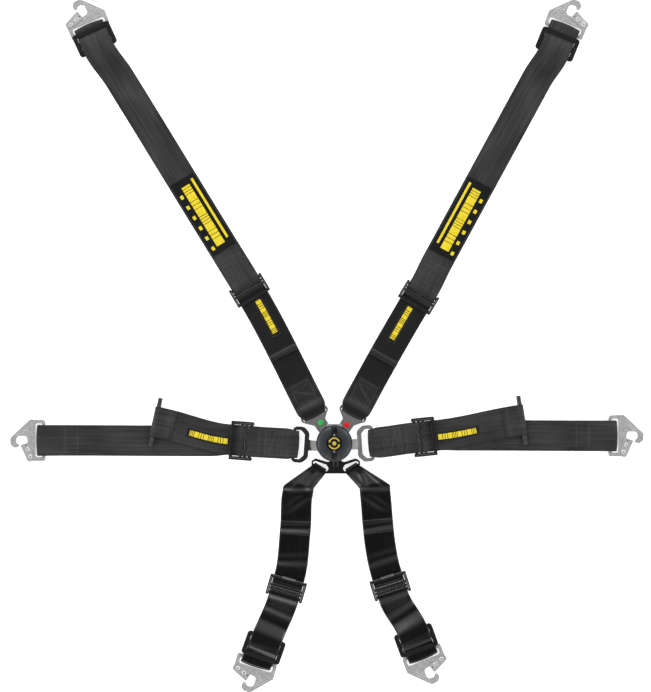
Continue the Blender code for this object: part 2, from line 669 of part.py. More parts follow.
def reversed_route(belt, kind):
    """The route from the adjuster back towards the buckle, for a tail that lies on its own belt."""
    bar, centre = BELTS[belt]["bar"], BELTS[belt]["adjuster"]
    length = ADJUSTER_SIZES[kind][0] / 2 + 2.0
    stops = [(centre[0], centre[1], centre[2] + 180.0, length, length)]
    stops += [(x, y, heading + 180.0, 0.5, 0.5) for x, y, heading in reversed(CROTCH_BENDS.get(belt, []))]
    stops += [(bar[0], bar[1], bar[2] + 180.0, 4.0, 4.0)]
    return Route(stops)


def tail_route(belt, kind):
    """A tail's route: p counts from the adjuster's centre, away from its sewn side."""
    if kind != "lap":
        return reversed_route(belt, kind)
    centre, rod = BELTS[belt]["adjuster"], BELTS[belt]["rod"]
    return Route([(*centre, 20.0, 20.0), (*rod, 12.0, 12.0)])


def inner_route(belt, kind):
    """The route from the tongue's bar to the adjuster."""
    bar, centre = BELTS[belt]["bar"], BELTS[belt]["adjuster"]
    length = ADJUSTER_SIZES[kind][0] / 2 + 2.0
    stops = [(*bar, 6.0, 6.0)]
    stops += [(x, y, heading, 0.5, 0.5) for x, y, heading in CROTCH_BENDS.get(belt, [])]
    stops += [(*centre, length, length)]
    return Route(stops)


def outer_route(belt, kind):
    """The route from the adjuster to the hook's slot edge."""
    data = BELTS[belt]
    length = ADJUSTER_SIZES[kind][0] / 2 + 2.0
    stops = [(*data["adjuster"], length, length)]
    stops += [(x, y, heading, 0.5, 0.5) for x, y, heading in data["straight"]]
    if "slide" in data:
        stops.append((*data["slide"], 12.0, 12.0))
    stops.append((*data["hook"], 8.0 if "slide" in data else 30.0, 2.0))
    return Route(stops)


def shoulder_or_crotch(belt, kind, material, narrow, gathered):
    """A belt whose adjuster runs on the webbing from the tongue, with the long belt sewn to it."""
    adjuster(belt, kind, sewn_side=1)
    three_bar_slide(belt)
    hook_plate(belt)
    hook_gate(belt)
    inner = inner_route(belt, kind)
    reach = inner.station(-1)
    strap(f"{belt}_webbing_inner", bar_end(40.0) + [(reach + 1.0, FLOOR_LAYER)], inner, material,
          widening(narrow, 4.0, gathered))
    strap(f"{belt}_webbing_tail", tail_path(BELTS[belt]["tail"]), tail_route(belt, kind), material)
    outer = outer_route(belt, kind)
    slide_s, hook_s = outer.station(-2), outer.station(-1)
    sewn_length, rise = (48.0, 48.0) if kind == "shoulder" else (24.0, 40.0)
    path = sewn_end(end_bar_offset(kind), sewn_length)
    path += [(slide_s - rise, FLOOR_LAYER), (slide_s - 26.0, SLIDE_LAYER), (slide_s + 5.6, SLIDE_LAYER),
             (slide_s + 11.4, HOOK_LAYER)]
    path += hook_end(hook_s, slide_s - 25.0)
    strap(f"{belt}_webbing_outer", path, outer, material)


def lap(belt):
    """A belt whose adjuster is sewn to a short belt on the buckle, and runs on the long outer belt."""
    adjuster(belt, "lap", sewn_side=-1)
    hook_plate(belt)
    hook_gate(belt)
    inner = inner_route(belt, "lap")
    bar_s = inner.station(-1) - end_bar_offset("lap")
    path = [(bar_s / 2 - 1.0, 5.4), (8.0, 5.3)]
    path += arc(0.0, TONGUE_MIDDLE, TONGUE_LOOP, -90.0, -270.0, steps=10)
    path += [(8.0, 10.9), (bar_s / 2, 7.4), (bar_s - 10.0, 7.1), (bar_s - 3.5, END_BAR_HEIGHT + END_LOOP)]
    path += arc(bar_s + 2.0, END_BAR_HEIGHT, END_LOOP, 90.0, -90.0)
    path += [(bar_s - 3.0, END_BAR_HEIGHT - END_LOOP), (bar_s / 2 + 1.0, 5.2)]
    strap(f"{belt}_webbing_short", path, inner, WEBBING, widening(22.0, 2.0, 16.0))
    outer = outer_route(belt, "lap")
    hook_s = outer.station(-1)
    path = [(-1.0, FLOOR_LAYER), (hook_s - 84.0, FLOOR_LAYER), (hook_s - 70.0, SECOND_LAYER + 0.1),
            (hook_s - 42.0, SECOND_LAYER + 0.2)]
    path += hook_end(hook_s, hook_s - 68.0)
    strap(f"{belt}_webbing_long", path, outer, WEBBING)
    pull_tail(belt)


def pull_tail(belt):
    """The lap belt's tail, sewn round its pull rod."""
    route = tail_route(belt, "lap")
    rod_s = route.station(-1)
    rod_z = SECOND_LAYER + WEB_THICK / 2 + CLEARANCE + ROD_RADIUS
    loop = ROD_RADIUS + CLEARANCE + WEB_THICK / 2
    path = tail_path(0.0, hem=False)
    path += [(rod_s - 1.0, SECOND_LAYER)]
    path += arc(rod_s, rod_z, loop, -90.0, 90.0, steps=10)
    path += [(rod_s - 6.0, rod_z + loop - 1.4), (rod_s - 20.0, THIRD_LAYER + 1.2), (rod_s - 30.0, THIRD_LAYER)]
    strap(f"{belt}_webbing_tail", path, route, WEBBING)
    x, y, heading = BELTS[belt]["rod"]
    axis = place(x, y, heading, rod_z) @ Matrix.Rotation(math.pi / 2, 4, "X")
    cylinder(f"{belt}_pull_rod", ROD_RADIUS, -ROD_LENGTH / 2, ROD_LENGTH / 2, axis, KNOB_PLASTIC, segments=20)


# ---------------------------------------------------------------- joints

def joint_empty(name, matrix, nodes, parent=None):
    """An empty on a joint's axis that carries the nodes moving on it, with the shapes that cut them."""
    empty = bpy.data.objects.new(name, None)
    empty.matrix_world = matrix
    PARTS.objects.link(empty)
    bpy.context.view_layer.update()
    carried = [bpy.data.objects[node] for node in nodes]
    for piece in list(carried):
        carried += [modifier.object for modifier in piece.modifiers if modifier.type == "BOOLEAN"]
    for piece in carried:
        keep_in_place(piece, empty)
    if parent:
        keep_in_place(empty, parent)
    return empty


def keep_in_place(child, parent):
    child.parent = parent
    child.matrix_parent_inverse = parent.matrix_world.inverted()


def buckle_joints():
    """The knob and the latch, and one slide for each tongue that releases. Returns the slides by belt."""
    origin = Matrix.Identity(4)
    joint_empty("knob_turn", origin, ["buckle_knob", "buckle_badge"])
    joint_empty("latch_lift", origin, ["latch_pin_plate"])
    slides = {}
    for side, turn in SHOULDER_NECKS.items():
        slides[f"shoulder_{side}"] = joint_empty(
            f"shoulder_{side}_release", place(0, 0, turn, TONGUE_MIDDLE), [f"shoulder_tongue_{side}"])
    slides["lap_left"] = None
    slides["lap_right"] = joint_empty(
        "lap_right_release", place(0, 0, LAP_RINGS["right"][2], TONGUE_MIDDLE), ["lap_tongue_right"])
    slides["crotch_left"] = slides["crotch_right"] = joint_empty(
        "crotch_release", place(YOKE_CENTRE_X, 0, -90.0, TONGUE_MIDDLE), ["crotch_yoke"])
    return slides


def belt_joints(belt, release):
    """The belt swings on its tongue, the adjuster slides along it, and the hook and its gate swing."""
    adjuster_nodes = [f"{belt}_adjuster_frame", f"{belt}_lock_bar", f"{belt}_webbing_tail"]
    if belt.startswith("lap"):
        near = [f"{belt}_webbing_short", f"{belt}_pull_rod"] + adjuster_nodes
        far = [f"{belt}_webbing_long"]
    else:
        near = [f"{belt}_webbing_inner"]
        far = [f"{belt}_webbing_outer", f"{belt}_three_bar_slide"] + adjuster_nodes
    swing = joint_empty(f"{belt}_swing", place(*BELTS[belt]["bar"], TONGUE_MIDDLE), near, release)
    slide = joint_empty(f"{belt}_adjust", place(*BELTS[belt]["adjuster"]), far, swing)
    hook_frame = place(*BELTS[belt]["hook"])
    hook_axis = hook_frame @ Matrix.Translation(Vector((HOOK_BAR_U, 0.0, HOOK_BAR_Z)) * MM)
    hook = joint_empty(f"{belt}_hook_swing", hook_axis, [f"{belt}_hook_plate"], slide)
    side = BELTS[belt]["gate_side"]
    turn = math.degrees(math.atan2(side * (GATE_TIP[1] - GATE_END[1]), GATE_TIP[0] - GATE_END[0]))
    gate_axis = hook_frame @ place(GATE_END[0], side * GATE_END[1], turn, GATE_BOTTOM)
    joint_empty(f"{belt}_gate_flex", gate_axis, [f"{belt}_hook_gate"], hook)


def main():
    buckle_back_plate()
    buckle_housing()
    buckle_knob()
    buckle_inside()
    for side in ("left", "right"):
        shoulder_tongue(side)
    lap_ring("lap_connector_left", "left", BLACK_STEEL, with_hole=False)
    lap_ring("lap_tongue_right", "right", TONGUE_STEEL, with_hole=True)
    crotch_yoke()
    for side in ("left", "right"):
        shoulder_or_crotch(f"shoulder_{side}", "shoulder", WEBBING, narrow=19.5, gathered=30.0)
        shoulder_or_crotch(f"crotch_{side}", "crotch", GLOSS_WEBBING, narrow=11.0, gathered=46.0)
        lap(f"lap_{side}")
    for belt, release in buckle_joints().items():
        belt_joints(belt, release)


main()
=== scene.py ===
"""Looks for the racing harness: woven belts, stitching, labels, plated hooks, adjusters and the buckle.

Lengths are in millimetres unless a name ends in _M, and angles are in degrees. A belt's place along its
route is s, its place across is t, and h is a height above its surface.
"""
import json
import math

import bmesh
import bpy
import numpy as np
from mathutils import Matrix, Vector, noise


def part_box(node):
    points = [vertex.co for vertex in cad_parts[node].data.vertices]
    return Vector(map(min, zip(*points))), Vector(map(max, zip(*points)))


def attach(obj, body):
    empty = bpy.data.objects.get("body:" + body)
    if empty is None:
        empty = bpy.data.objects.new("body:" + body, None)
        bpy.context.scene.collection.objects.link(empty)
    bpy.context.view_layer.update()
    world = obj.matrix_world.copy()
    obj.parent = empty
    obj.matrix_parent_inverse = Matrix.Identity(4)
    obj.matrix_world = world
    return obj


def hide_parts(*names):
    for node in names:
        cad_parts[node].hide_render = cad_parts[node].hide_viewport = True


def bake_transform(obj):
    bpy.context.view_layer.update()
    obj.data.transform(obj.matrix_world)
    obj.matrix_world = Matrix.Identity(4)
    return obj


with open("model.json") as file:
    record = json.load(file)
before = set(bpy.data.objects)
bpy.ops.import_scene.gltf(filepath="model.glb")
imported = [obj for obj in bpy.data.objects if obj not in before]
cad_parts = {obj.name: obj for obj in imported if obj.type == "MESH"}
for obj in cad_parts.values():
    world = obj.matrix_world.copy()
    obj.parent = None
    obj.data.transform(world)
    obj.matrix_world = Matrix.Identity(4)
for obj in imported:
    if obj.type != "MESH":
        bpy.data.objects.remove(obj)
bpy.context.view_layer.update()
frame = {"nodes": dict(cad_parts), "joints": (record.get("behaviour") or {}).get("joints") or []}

MM = 0.001
ORIGIN = Matrix.Identity(4)

# Webbing
WEB_HALF, WEB_THICK = 25.0, 1.3
FLOOR_LAYER, LAYER_STEP = 0.92, WEB_THICK + 0.33
SECOND_LAYER = FLOOR_LAYER + LAYER_STEP
THIRD_LAYER = SECOND_LAYER + LAYER_STEP
TONGUE_MIDDLE, TONGUE_LOOP = 8.75, 3.55
LOCK_BAR_HEIGHT, LOCK_LOOP = 5.7, 3.15
END_BAR_HEIGHT, END_LOOP, END_BAR_INSET = 5.4, 2.15, 4.0
SLIDE_LAYER = 12.8
HOOK_BAR_U, HOOK_BAR_Z = -13.3, 4.6
HOOK_LOOP = HOOK_BAR_Z - FLOOR_LAYER
HOOK_LAYER = HOOK_BAR_Z + HOOK_LOOP
ROD_RADIUS = 3.75
ADJUSTER_LENGTH = {"shoulder": 32.0, "crotch": 33.0, "lap": 37.0}

# Where the belts bend between their fittings: x, y and heading
BENDS = {
    "shoulder_left": [(-170.0, 301.0, 121.8), (-350.0, 594.0, 121.8)],
    "shoulder_right": [(168.0, 294.5, 61.4), (330.0, 592.0, 61.4)],
    "crotch_left": [(-58.7, -72.6, -85.5), (-61.2, -92.0, -95.0), (-63.4, -142.5, -96.0)],
    "crotch_right": [(66.3, -71.5, -90.6), (67.8, -92.0, -84.5), (72.0, -142.5, -84.0)],
    "lap_left": [(-200.0, 2.8, 180.0)],
    "lap_right": [(205.0, 12.0, 0.0)],
}
TAIL_LENGTH = {
    "shoulder_left": 120.5,
    "shoulder_right": 118.5,
    "crotch_left": 111.0,
    "crotch_right": 111.0,
}
JOINTS = {joint["name"]: joint for joint in frame["joints"]}


# ---------------------------------------------------------------- fittings, read from the frame

def unit(heading):
    turn = math.radians(heading)
    return Vector((math.cos(turn), math.sin(turn), 0.0))


def lift_heading(joint):
    """The heading of a belt that a hinge lifts."""
    x, y, _ = JOINTS[joint]["axis"]
    return math.degrees(math.atan2(x, -y))


def centre(node):
    low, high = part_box(node)
    return (low + high) / 2 / MM


def square_to(node, towards):
    """The heading square to a node's longest side in plan, on the side that faces towards."""
    points = np.array([vertex.co for vertex in frame["nodes"][node].data.vertices])[:, :2]
    _, directions = np.linalg.eigh(np.cov((points - points.mean(0)).T))
    x, y = directions[:, 0]
    if x * towards[0] + y * towards[1] < 0:
        x, y = -x, -y
    return math.degrees(math.atan2(y, x))


def bar_place(belt):
    position = Vector(JOINTS[f"{belt}_swing"]["pos_m"]) / MM
    return position.x, position.y, lift_heading(f"{belt}_swing")


def adjuster_place(belt):
    middle = centre(f"{belt}_lock_bar")
    x, y, _ = JOINTS[f"{belt}_adjust"]["axis"]
    return middle.x, middle.y, math.degrees(math.atan2(y, x))


def hook_place(belt):
    """The outer edge of the hook's webbing slot."""
    position = Vector(JOINTS[f"{belt}_hook_swing"]["pos_m"]) / MM
    heading = lift_heading(f"{belt}_hook_swing")
    edge = position - unit(heading) * HOOK_BAR_U
    return edge.x, edge.y, heading


def fitting_place(node, belt):
    """A slide or a pull rod: its centre, and the heading of the belt through it."""
    middle = centre(node)
    return middle.x, middle.y, square_to(node, JOINTS[f"{belt}_adjust"]["axis"])


def place(x, y, heading, z=0.0):
    return Matrix.Translation(Vector((x, y, z)) * MM) @ Matrix.Rotation(math.radians(heading), 4, "Z")


# ---------------------------------------------------------------- materials

EVEN_GRAIN = (900.0, 900.0, 900.0)
COARSE_GRAIN = (300.0, 300.0, 300.0)


class Look:
    """A material made of nodes, with short calls for the ones used here."""

    def __init__(self, name, roughness, metallic=0.0, **constants):
        self.material = bpy.data.materials.new(name)
        self.material.use_nodes = True
        self.tree = self.material.node_tree
        self.shader = self.tree.nodes["Principled BSDF"]
        self.shader.inputs["Roughness"].default_value = roughness
        self.shader.inputs["Metallic"].default_value = metallic
        for socket, value in constants.items():
            self.shader.inputs[socket.replace("_", " ")].default_value = value
        coordinates = self.tree.nodes.new("ShaderNodeTexCoord")
        self.object, self.uv = coordinates.outputs["Object"], coordinates.outputs["UV"]

    def wire(self, socket, value):
        if isinstance(value, bpy.types.NodeSocket):
            self.tree.links.new(value, socket)
        else:
            socket.default_value = value

    def node(self, kind, inputs, **settings):
        """A node of that kind, with its settings made and its inputs wired."""
        node = self.tree.nodes.new("ShaderNode" + kind)
        for setting, value in settings.items():
            setattr(node, setting, value)
        for socket, value in inputs.items():
            self.wire(node.inputs[socket], value)
        return node

    def math(self, operation, *values):
        return self.node("Math", dict(enumerate(values)), operation=operation).outputs[0]

    def axis(self, vector, name):
        return self.node("SeparateXYZ", {0: vector}).outputs[name]

    def stretched(self, vector, scale):
        return self.node("Mapping", {"Vector": vector, "Scale": scale}).outputs[0]

    def noise(self, vector, scale, detail=3.0):
        return self.node("TexNoise", {"Vector": vector, "Scale": scale, "Detail": detail}).outputs["Fac"]

    def cells(self, vector, scale):
        return self.node("TexVoronoi", {"Vector": vector, "Scale": scale}).outputs["Distance"]

    def grained(self, grain, patch):
        """A fine grain, and the same grain over larger stains."""
        fine = self.noise(self.stretched(self.object, grain), 1.0, 2.0)
        stains = self.noise(self.object, patch, 4.0)
        return fine, self.math("MULTIPLY_ADD", fine, 0.4, self.math("MULTIPLY", stains, 0.6))

    def radius(self):
        """The distance from the buckle's axis."""
        flat = self.stretched(self.object, (1.0, 1.0, 0.0))
        return self.node("VectorMath", {0: flat}, operation="LENGTH").outputs["Value"]

    def ramp(self, factor, *stops):
        """Colours or greys at places from 0 to 1."""
        node = self.tree.nodes.new("ShaderNodeValToRGB")
        self.wire(node.inputs[0], factor)
        elements = node.color_ramp.elements
        while len(elements) < len(stops):
            elements.new(0.5)
        for element, (position, colour) in zip(elements, stops):
            element.position = position
            if isinstance(colour, (int, float)):
                colour = (colour, colour, colour)
            element.color = (*colour, 1.0)
        return node.outputs[0]

    def mix(self, factor, a, b, blend="MIX"):
        a, b = ((*value, 1.0) if isinstance(value, tuple) else value for value in (a, b))
        inputs = {"Factor": factor, "A": a, "B": b}
        return self.node("Mix", inputs, data_type="RGBA", blend_type=blend).outputs["Result"]

    def colour(self, value):
        self.wire(self.shader.inputs["Base Color"], value)

    def roughness(self, value):
        self.wire(self.shader.inputs["Roughness"], value)

    def bump(self, height, depth, strength=1.0):
        """Bump of that depth in millimetres."""
        inputs = {"Strength": strength, "Distance": depth * MM, "Height": height}
        self.wire(self.shader.inputs["Normal"], self.node("Bump", inputs).outputs[0])


def webbing_look(name, dark, light, roughness, depth, sheen, specular):
    """Ribbed webbing: columns of herringbone yarn, lighter in long streaks of painted sheen and wear, darker
    along its edges.
    """
    look = Look(name, roughness, Sheen_Weight=sheen, Sheen_Roughness=0.5, Specular_IOR_Level=specular)
    across, along = look.axis(look.uv, "X"), look.axis(look.uv, "Y")
    column = look.math("DIVIDE", across, 4.2 * MM)
    zigzag = look.math("PINGPONG", column, 1.0)
    yarn_phase = look.math("MULTIPLY_ADD", zigzag, 9.0, look.math("DIVIDE", along, 0.21 * MM))
    yarn = look.math("MULTIPLY_ADD", look.math("SINE", yarn_phase), 0.5, 0.5)
    rib = look.math("ABSOLUTE", look.math("SINE", look.math("MULTIPLY", column, math.pi)))
    height = look.math("MULTIPLY_ADD", yarn, 0.5, look.math("MULTIPLY", rib, 0.6))
    # Painted sheen and wear: long streaks and patches lighten the colour, and the yarn's crests are painted a
    # little lighter.
    streaks = look.noise(look.stretched(look.uv, (260.0, 9.0, 1.0)), 1.0, 2.0)
    patches = look.noise(look.stretched(look.uv, (16.0, 9.0, 1.0)), 1.0, 2.0)
    lightening = look.math("MULTIPLY_ADD", streaks, 0.45, look.math("MULTIPLY", patches, 0.75))
    lightening = look.math("MULTIPLY_ADD", yarn, 0.16, lightening)
    body = look.ramp(lightening, (0.5, dark), (0.86, light))
    from_middle = look.math("ABSOLUTE", look.math("DIVIDE", across, WEB_HALF * MM))
    edge = look.ramp(from_middle, (0.9, 1.0), (0.985, 0.42))
    look.colour(look.mix(1.0, body, edge, "MULTIPLY"))
    look.roughness(look.ramp(lightening, (0.3, roughness + 0.1), (0.85, roughness - 0.08)))
    look.bump(height, depth)
    return look.material


def darker(colour, share):
    return tuple(channel * share for channel in colour)


def thread_look(name, colour):
    look = Look(name, 0.5, Sheen_Weight=0.3)
    twist = look.math("SINE", look.math("DIVIDE", look.axis(look.object, "X"), 0.18 * MM))
    look.colour(look.ramp(look.noise(look.object, 400.0), (0.3, darker(colour, 0.7)), (0.7, colour)))
    look.bump(twist, 0.05)
    return look.material


def metal_look(name, dark, light, roughness, metallic, grain=EVEN_GRAIN, patch=60.0, depth=0.03):
    """Metal or coated metal with a fine grain, larger stains, and a roughness that follows both."""
    look = Look(name, roughness, metallic)
    fine, both = look.grained(grain, patch)
    look.colour(look.ramp(both, (0.3, dark), (0.7, light)))
    look.roughness(look.ramp(both, (0.25, roughness + 0.12), (0.75, max(0.05, roughness - 0.1))))
    look.bump(fine, depth)
    return look.material


def plate_look():
    """Zinc plate: pale and mottled, with darker and lighter flecks."""
    look = Look("zinc_plate_finish", 0.42, 0.3)
    flecks = look.noise(look.object, 520.0, 4.0)
    clouds = look.noise(look.object, 90.0, 3.0)
    spangle = look.cells(look.object, 330.0)
    mottle = look.math("MULTIPLY_ADD", flecks, 0.5, look.math("MULTIPLY", clouds, 0.3))
    mottle = look.math("MULTIPLY_ADD", spangle, 0.35, mottle)
    look.colour(look.ramp(mottle, (0.3, 0.26), (0.52, 0.36), (0.78, (0.53, 0.53, 0.525))))
    look.roughness(look.ramp(mottle, (0.3, 0.55), (0.75, 0.33)))
    look.bump(mottle, 0.12, 0.7)
    return look.material


def tongue_look(name, dark, light, neck, neck_from=26.0, neck_to=36.0):
    """A tongue with a bright neck: a painted highlight on its polished neck, which fades out with distance from
    the buckle.
    """
    look = Look(name, 0.38, 0.75)
    fine, both = look.grained((700.0, 700.0, 700.0), 70.0)
    # Painted highlight: the neck colour, full out to neck_from and fading out by neck_to.
    near = look.math("DIVIDE", look.radius(), neck_to * MM)
    neck_highlight = look.ramp(near, (neck_from / neck_to, 1.0), (1.0, 0.0))
    look.colour(look.mix(neck_highlight, look.ramp(both, (0.3, dark), (0.7, light)), neck))
    look.roughness(look.ramp(both, (0.25, 0.5), (0.75, 0.28)))
    look.bump(fine, 0.03)
    return look.material


def knob_look():
    """Charcoal casting whose groove, recess and rim are nearly black with painted shade."""
    look = Look("knob_casting", 0.36, 0.2)
    fine, both = look.grained(EVEN_GRAIN, 25.0)
    radius = look.radius()
    # Painted shade: the groove, the recess and the rim are masked and painted nearly black.
    groove = look.math("LESS_THAN", look.math("ABSOLUTE", look.axis(look.object, "X")), 4.9 * MM)
    recess = look.math("LESS_THAN", radius, 12.7 * MM)
    rim = look.math("GREATER_THAN", radius, 27.6 * MM)
    dark = look.math("MAXIMUM", groove, look.math("MAXIMUM", recess, rim))
    face = look.ramp(both, (0.3, (0.017, 0.020, 0.024)), (0.7, (0.030, 0.035, 0.042)))
    look.colour(look.mix(dark, face, (0.0025, 0.0035, 0.005)))
    look.roughness(look.ramp(both, (0.25, 0.45), (0.75, 0.28)))
    look.bump(fine, 0.03)
    return look.material


def paint_look(name, colour):
    look = Look(name, 0.35, Coat_Weight=0.4)
    speckle = look.noise(look.object, 700.0, 3.0)
    look.colour(look.ramp(speckle, (0.3, darker(colour, 0.72)), (0.65, colour)))
    look.bump(speckle, 0.04)
    return look.material


def woven_label_look(name, dark, light):
    """A woven label, with its fine threads running both ways."""
    look = Look(name, 0.6, Specular_IOR_Level=0.16)
    warp = look.math("SINE", look.math("DIVIDE", look.axis(look.uv, "X"), 0.09 * MM))
    weft = look.math("SINE", look.math("DIVIDE", look.axis(look.uv, "Y"), 0.11 * MM))
    weave = look.math("MULTIPLY_ADD", look.math("MULTIPLY", warp, weft), 0.5, 0.5)
    uneven = look.math("MULTIPLY", look.noise(look.object, 240.0), 0.5)
    look.colour(look.ramp(look.math("MULTIPLY_ADD", weave, 0.5, uneven), (0.25, dark), (0.7, light)))
    look.bump(weave, 0.1)
    return look.material


WEBBING = webbing_look(
    "belt_webbing", (0.006, 0.006, 0.0062), (0.044, 0.044, 0.045), 0.56, 0.16, 0.02, 0.24)
# A darker copy of the belt webbing: painted shade for the shoulder belts' inner straps and tails, near the
# buckle.
SHADED_WEBBING = webbing_look(
    "shaded_inner_webbing", (0.0006, 0.0006, 0.0007), (0.006, 0.006, 0.0065), 0.42, 0.09, 0.0, 0.42)
GLOSS = webbing_look(
    "crotch_webbing", (0.0003, 0.0003, 0.0004), (0.0018, 0.0018, 0.002), 0.3, 0.02, 0.0, 0.52)
PATCH = woven_label_look("label_patch", (0.001, 0.0015, 0.002), (0.004, 0.005, 0.006))
YELLOW = woven_label_look("label_print", (0.60, 0.46, 0.009), (0.90, 0.71, 0.045))
THREAD = thread_look("black_thread", (0.075, 0.075, 0.075))
BLACK_STEEL = metal_look("black_steel", (0.004, 0.004, 0.0045), (0.012, 0.012, 0.013), 0.34, 0.2)
WORN_EDGE = metal_look("worn_edge", (0.08, 0.08, 0.08), (0.3, 0.3, 0.3), 0.35, 0.7)
ZINC = plate_look()
ZINC_EDGE = metal_look("zinc_edge", (0.6, 0.6, 0.6), (0.85, 0.85, 0.85), 0.3, 0.6)
SPRING = metal_look("spring_steel", (0.5, 0.5, 0.5), (0.75, 0.75, 0.74), 0.32, 0.6, COARSE_GRAIN)
RIVET = metal_look("rivet_head", (0.65, 0.65, 0.64), (0.95, 0.95, 0.94), 0.22, 0.7)
ALLOY = metal_look("housing_alloy", (0.45, 0.45, 0.46), (0.75, 0.75, 0.76), 0.35, 0.55)
KNOB = knob_look()
# Nearly black painted shade: for the knob's rounded edges, the badge disc in its recess, and a hole on each
# gate.
KNOB_DARK = metal_look("painted_dark_shade", (0.0015, 0.002, 0.003), (0.005, 0.007, 0.010), 0.3, 0.2)
GOLD = metal_look("gold_badge", (0.66, 0.44, 0.03), (1.0, 0.80, 0.16), 0.24, 0.35)
PLASTIC = metal_look(
    "rod_plastic", (0.016, 0.016, 0.017), (0.034, 0.034, 0.035), 0.45, 0.0, (300.0, 300.0, 40.0))
# The bright necks of the tongues and rings are painted highlights.
TONGUE = tongue_look("tongue_steel", (0.20, 0.20, 0.20), (0.36, 0.36, 0.36), (0.34, 0.34, 0.33))
RING_STEEL = tongue_look(
    "ring_steel", (0.24, 0.24, 0.24), (0.40, 0.40, 0.40), (0.75, 0.75, 0.73), 37.0, 41.0)
RING_BLACK = tongue_look(
    "ring_black", (0.03, 0.03, 0.031), (0.06, 0.06, 0.061), (0.66, 0.66, 0.64), 37.0, 40.0)
GREEN = paint_look("marker_green", (0.03, 0.55, 0.09))
RED = paint_look("marker_red", (0.85, 0.02, 0.03))


# ---------------------------------------------------------------- mesh tools

def piece(name, mesh, materials, body, slot, *nodes):
    """A visible piece that rides on a body and stands for CAD nodes. Its slot is not used."""
    item = bpy.data.objects.new(name, mesh)
    bpy.context.scene.collection.objects.link(item)
    mesh.materials.clear()
    for material in materials:
        mesh.materials.append(material)
    if body:
        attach(item, body)
    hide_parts(*nodes)
    return item


def smooth(mesh, angle=38.0):
    mesh.shade_smooth()
    mesh.set_sharp_from_angle(angle=math.radians(angle))


def refined(node, name, body, slot, looks, width=0.35, segments=2):
    """A CAD node's own shape with rounded edges. A second look, if there is one, is for the edges."""
    mesh = frame["nodes"][node].data.copy()
    shell = bmesh.new()
    shell.from_mesh(mesh)
    bmesh.ops.remove_doubles(shell, verts=shell.verts, dist=0.000002)
    bmesh.ops.dissolve_limit(shell, angle_limit=math.radians(1.0), verts=shell.verts, edges=shell.edges)
    for face in shell.faces:
        face.material_index = 0
    shell.to_mesh(mesh)
    shell.free()
    smooth(mesh)
    item = piece(name, mesh, looks, body, slot, node)
    bevel = item.modifiers.new("edges", "BEVEL")
    bevel.width = width * MM
    bevel.segments = segments
    bevel.limit_method = "ANGLE"
    bevel.angle_limit = math.radians(40.0)
    bevel.use_clamp_overlap = True
    bevel.harden_normals = True
    if len(looks) > 1:
        bevel.material = 1
    return item


def vertices(shell, points, matrix=ORIGIN):
    return [shell.verts.new(matrix @ (Vector(point) * MM)) for point in points]


def skin(shell, rings, ends=False):
    """Faces between rings of vertices, and over the first and the last of them if ends."""
    for low, high in zip(rings, rings[1:]):
        for step in range(len(low)):
            after = (step + 1) % len(low)
            corners = dict.fromkeys((low[step], low[after], high[after], high[step]))
            if len(corners) > 2:
                shell.faces.new(list(corners))
    if ends:
        shell.faces.new(rings[0])
        shell.faces.new(rings[-1])


def circle(radius, steps):
    """(x, y) points round the origin."""
    turns = [2 * math.pi * step / steps for step in range(steps)]
    return [(radius * math.cos(turn), radius * math.sin(turn)) for turn in turns]


def lathe(shell, profile, matrix, steps):
    """Turns (radius, height) points about the matrix's Z axis. A radius of 0 closes an end."""
    rings = []
    for radius, height in profile:
        if radius == 0.0:
            rings.append(vertices(shell, [(0.0, 0.0, height)], matrix) * steps)
        else:
            rings.append(vertices(shell, [(x, y, height) for x, y in circle(radius, steps)], matrix))
    skin(shell, rings)


def mapped(shell, layer, corners):
    """A face through (vertex, uv) corners."""
    face = shell.faces.new([vertex for vertex, _ in corners])
    for loop, (_, uv) in zip(face.loops, corners):
        loop[layer].uv = uv


def mapped_skin(shell, layer, rings):
    """Faces between rings of (vertex, uv) corners."""
    for low, high in zip(rings, rings[1:]):
        for step in range(len(low)):
            after = (step + 1) % len(low)
            mapped(shell, layer, (low[step], low[after], high[after], high[step]))


def finished(name, shell, angle=38.0):
    bmesh.ops.recalc_face_normals(shell, faces=shell.faces)
    mesh = bpy.data.meshes.new(name)
    shell.to_mesh(mesh)
    shell.free()
    smooth(mesh, angle)
    return mesh


def made(name, shell, look, body, slot, *nodes):
    """A piece with one look, from a shell."""
    return piece(name, finished(name, shell), [look], body, slot, *nodes)


# ---------------------------------------------------------------- routes and belts

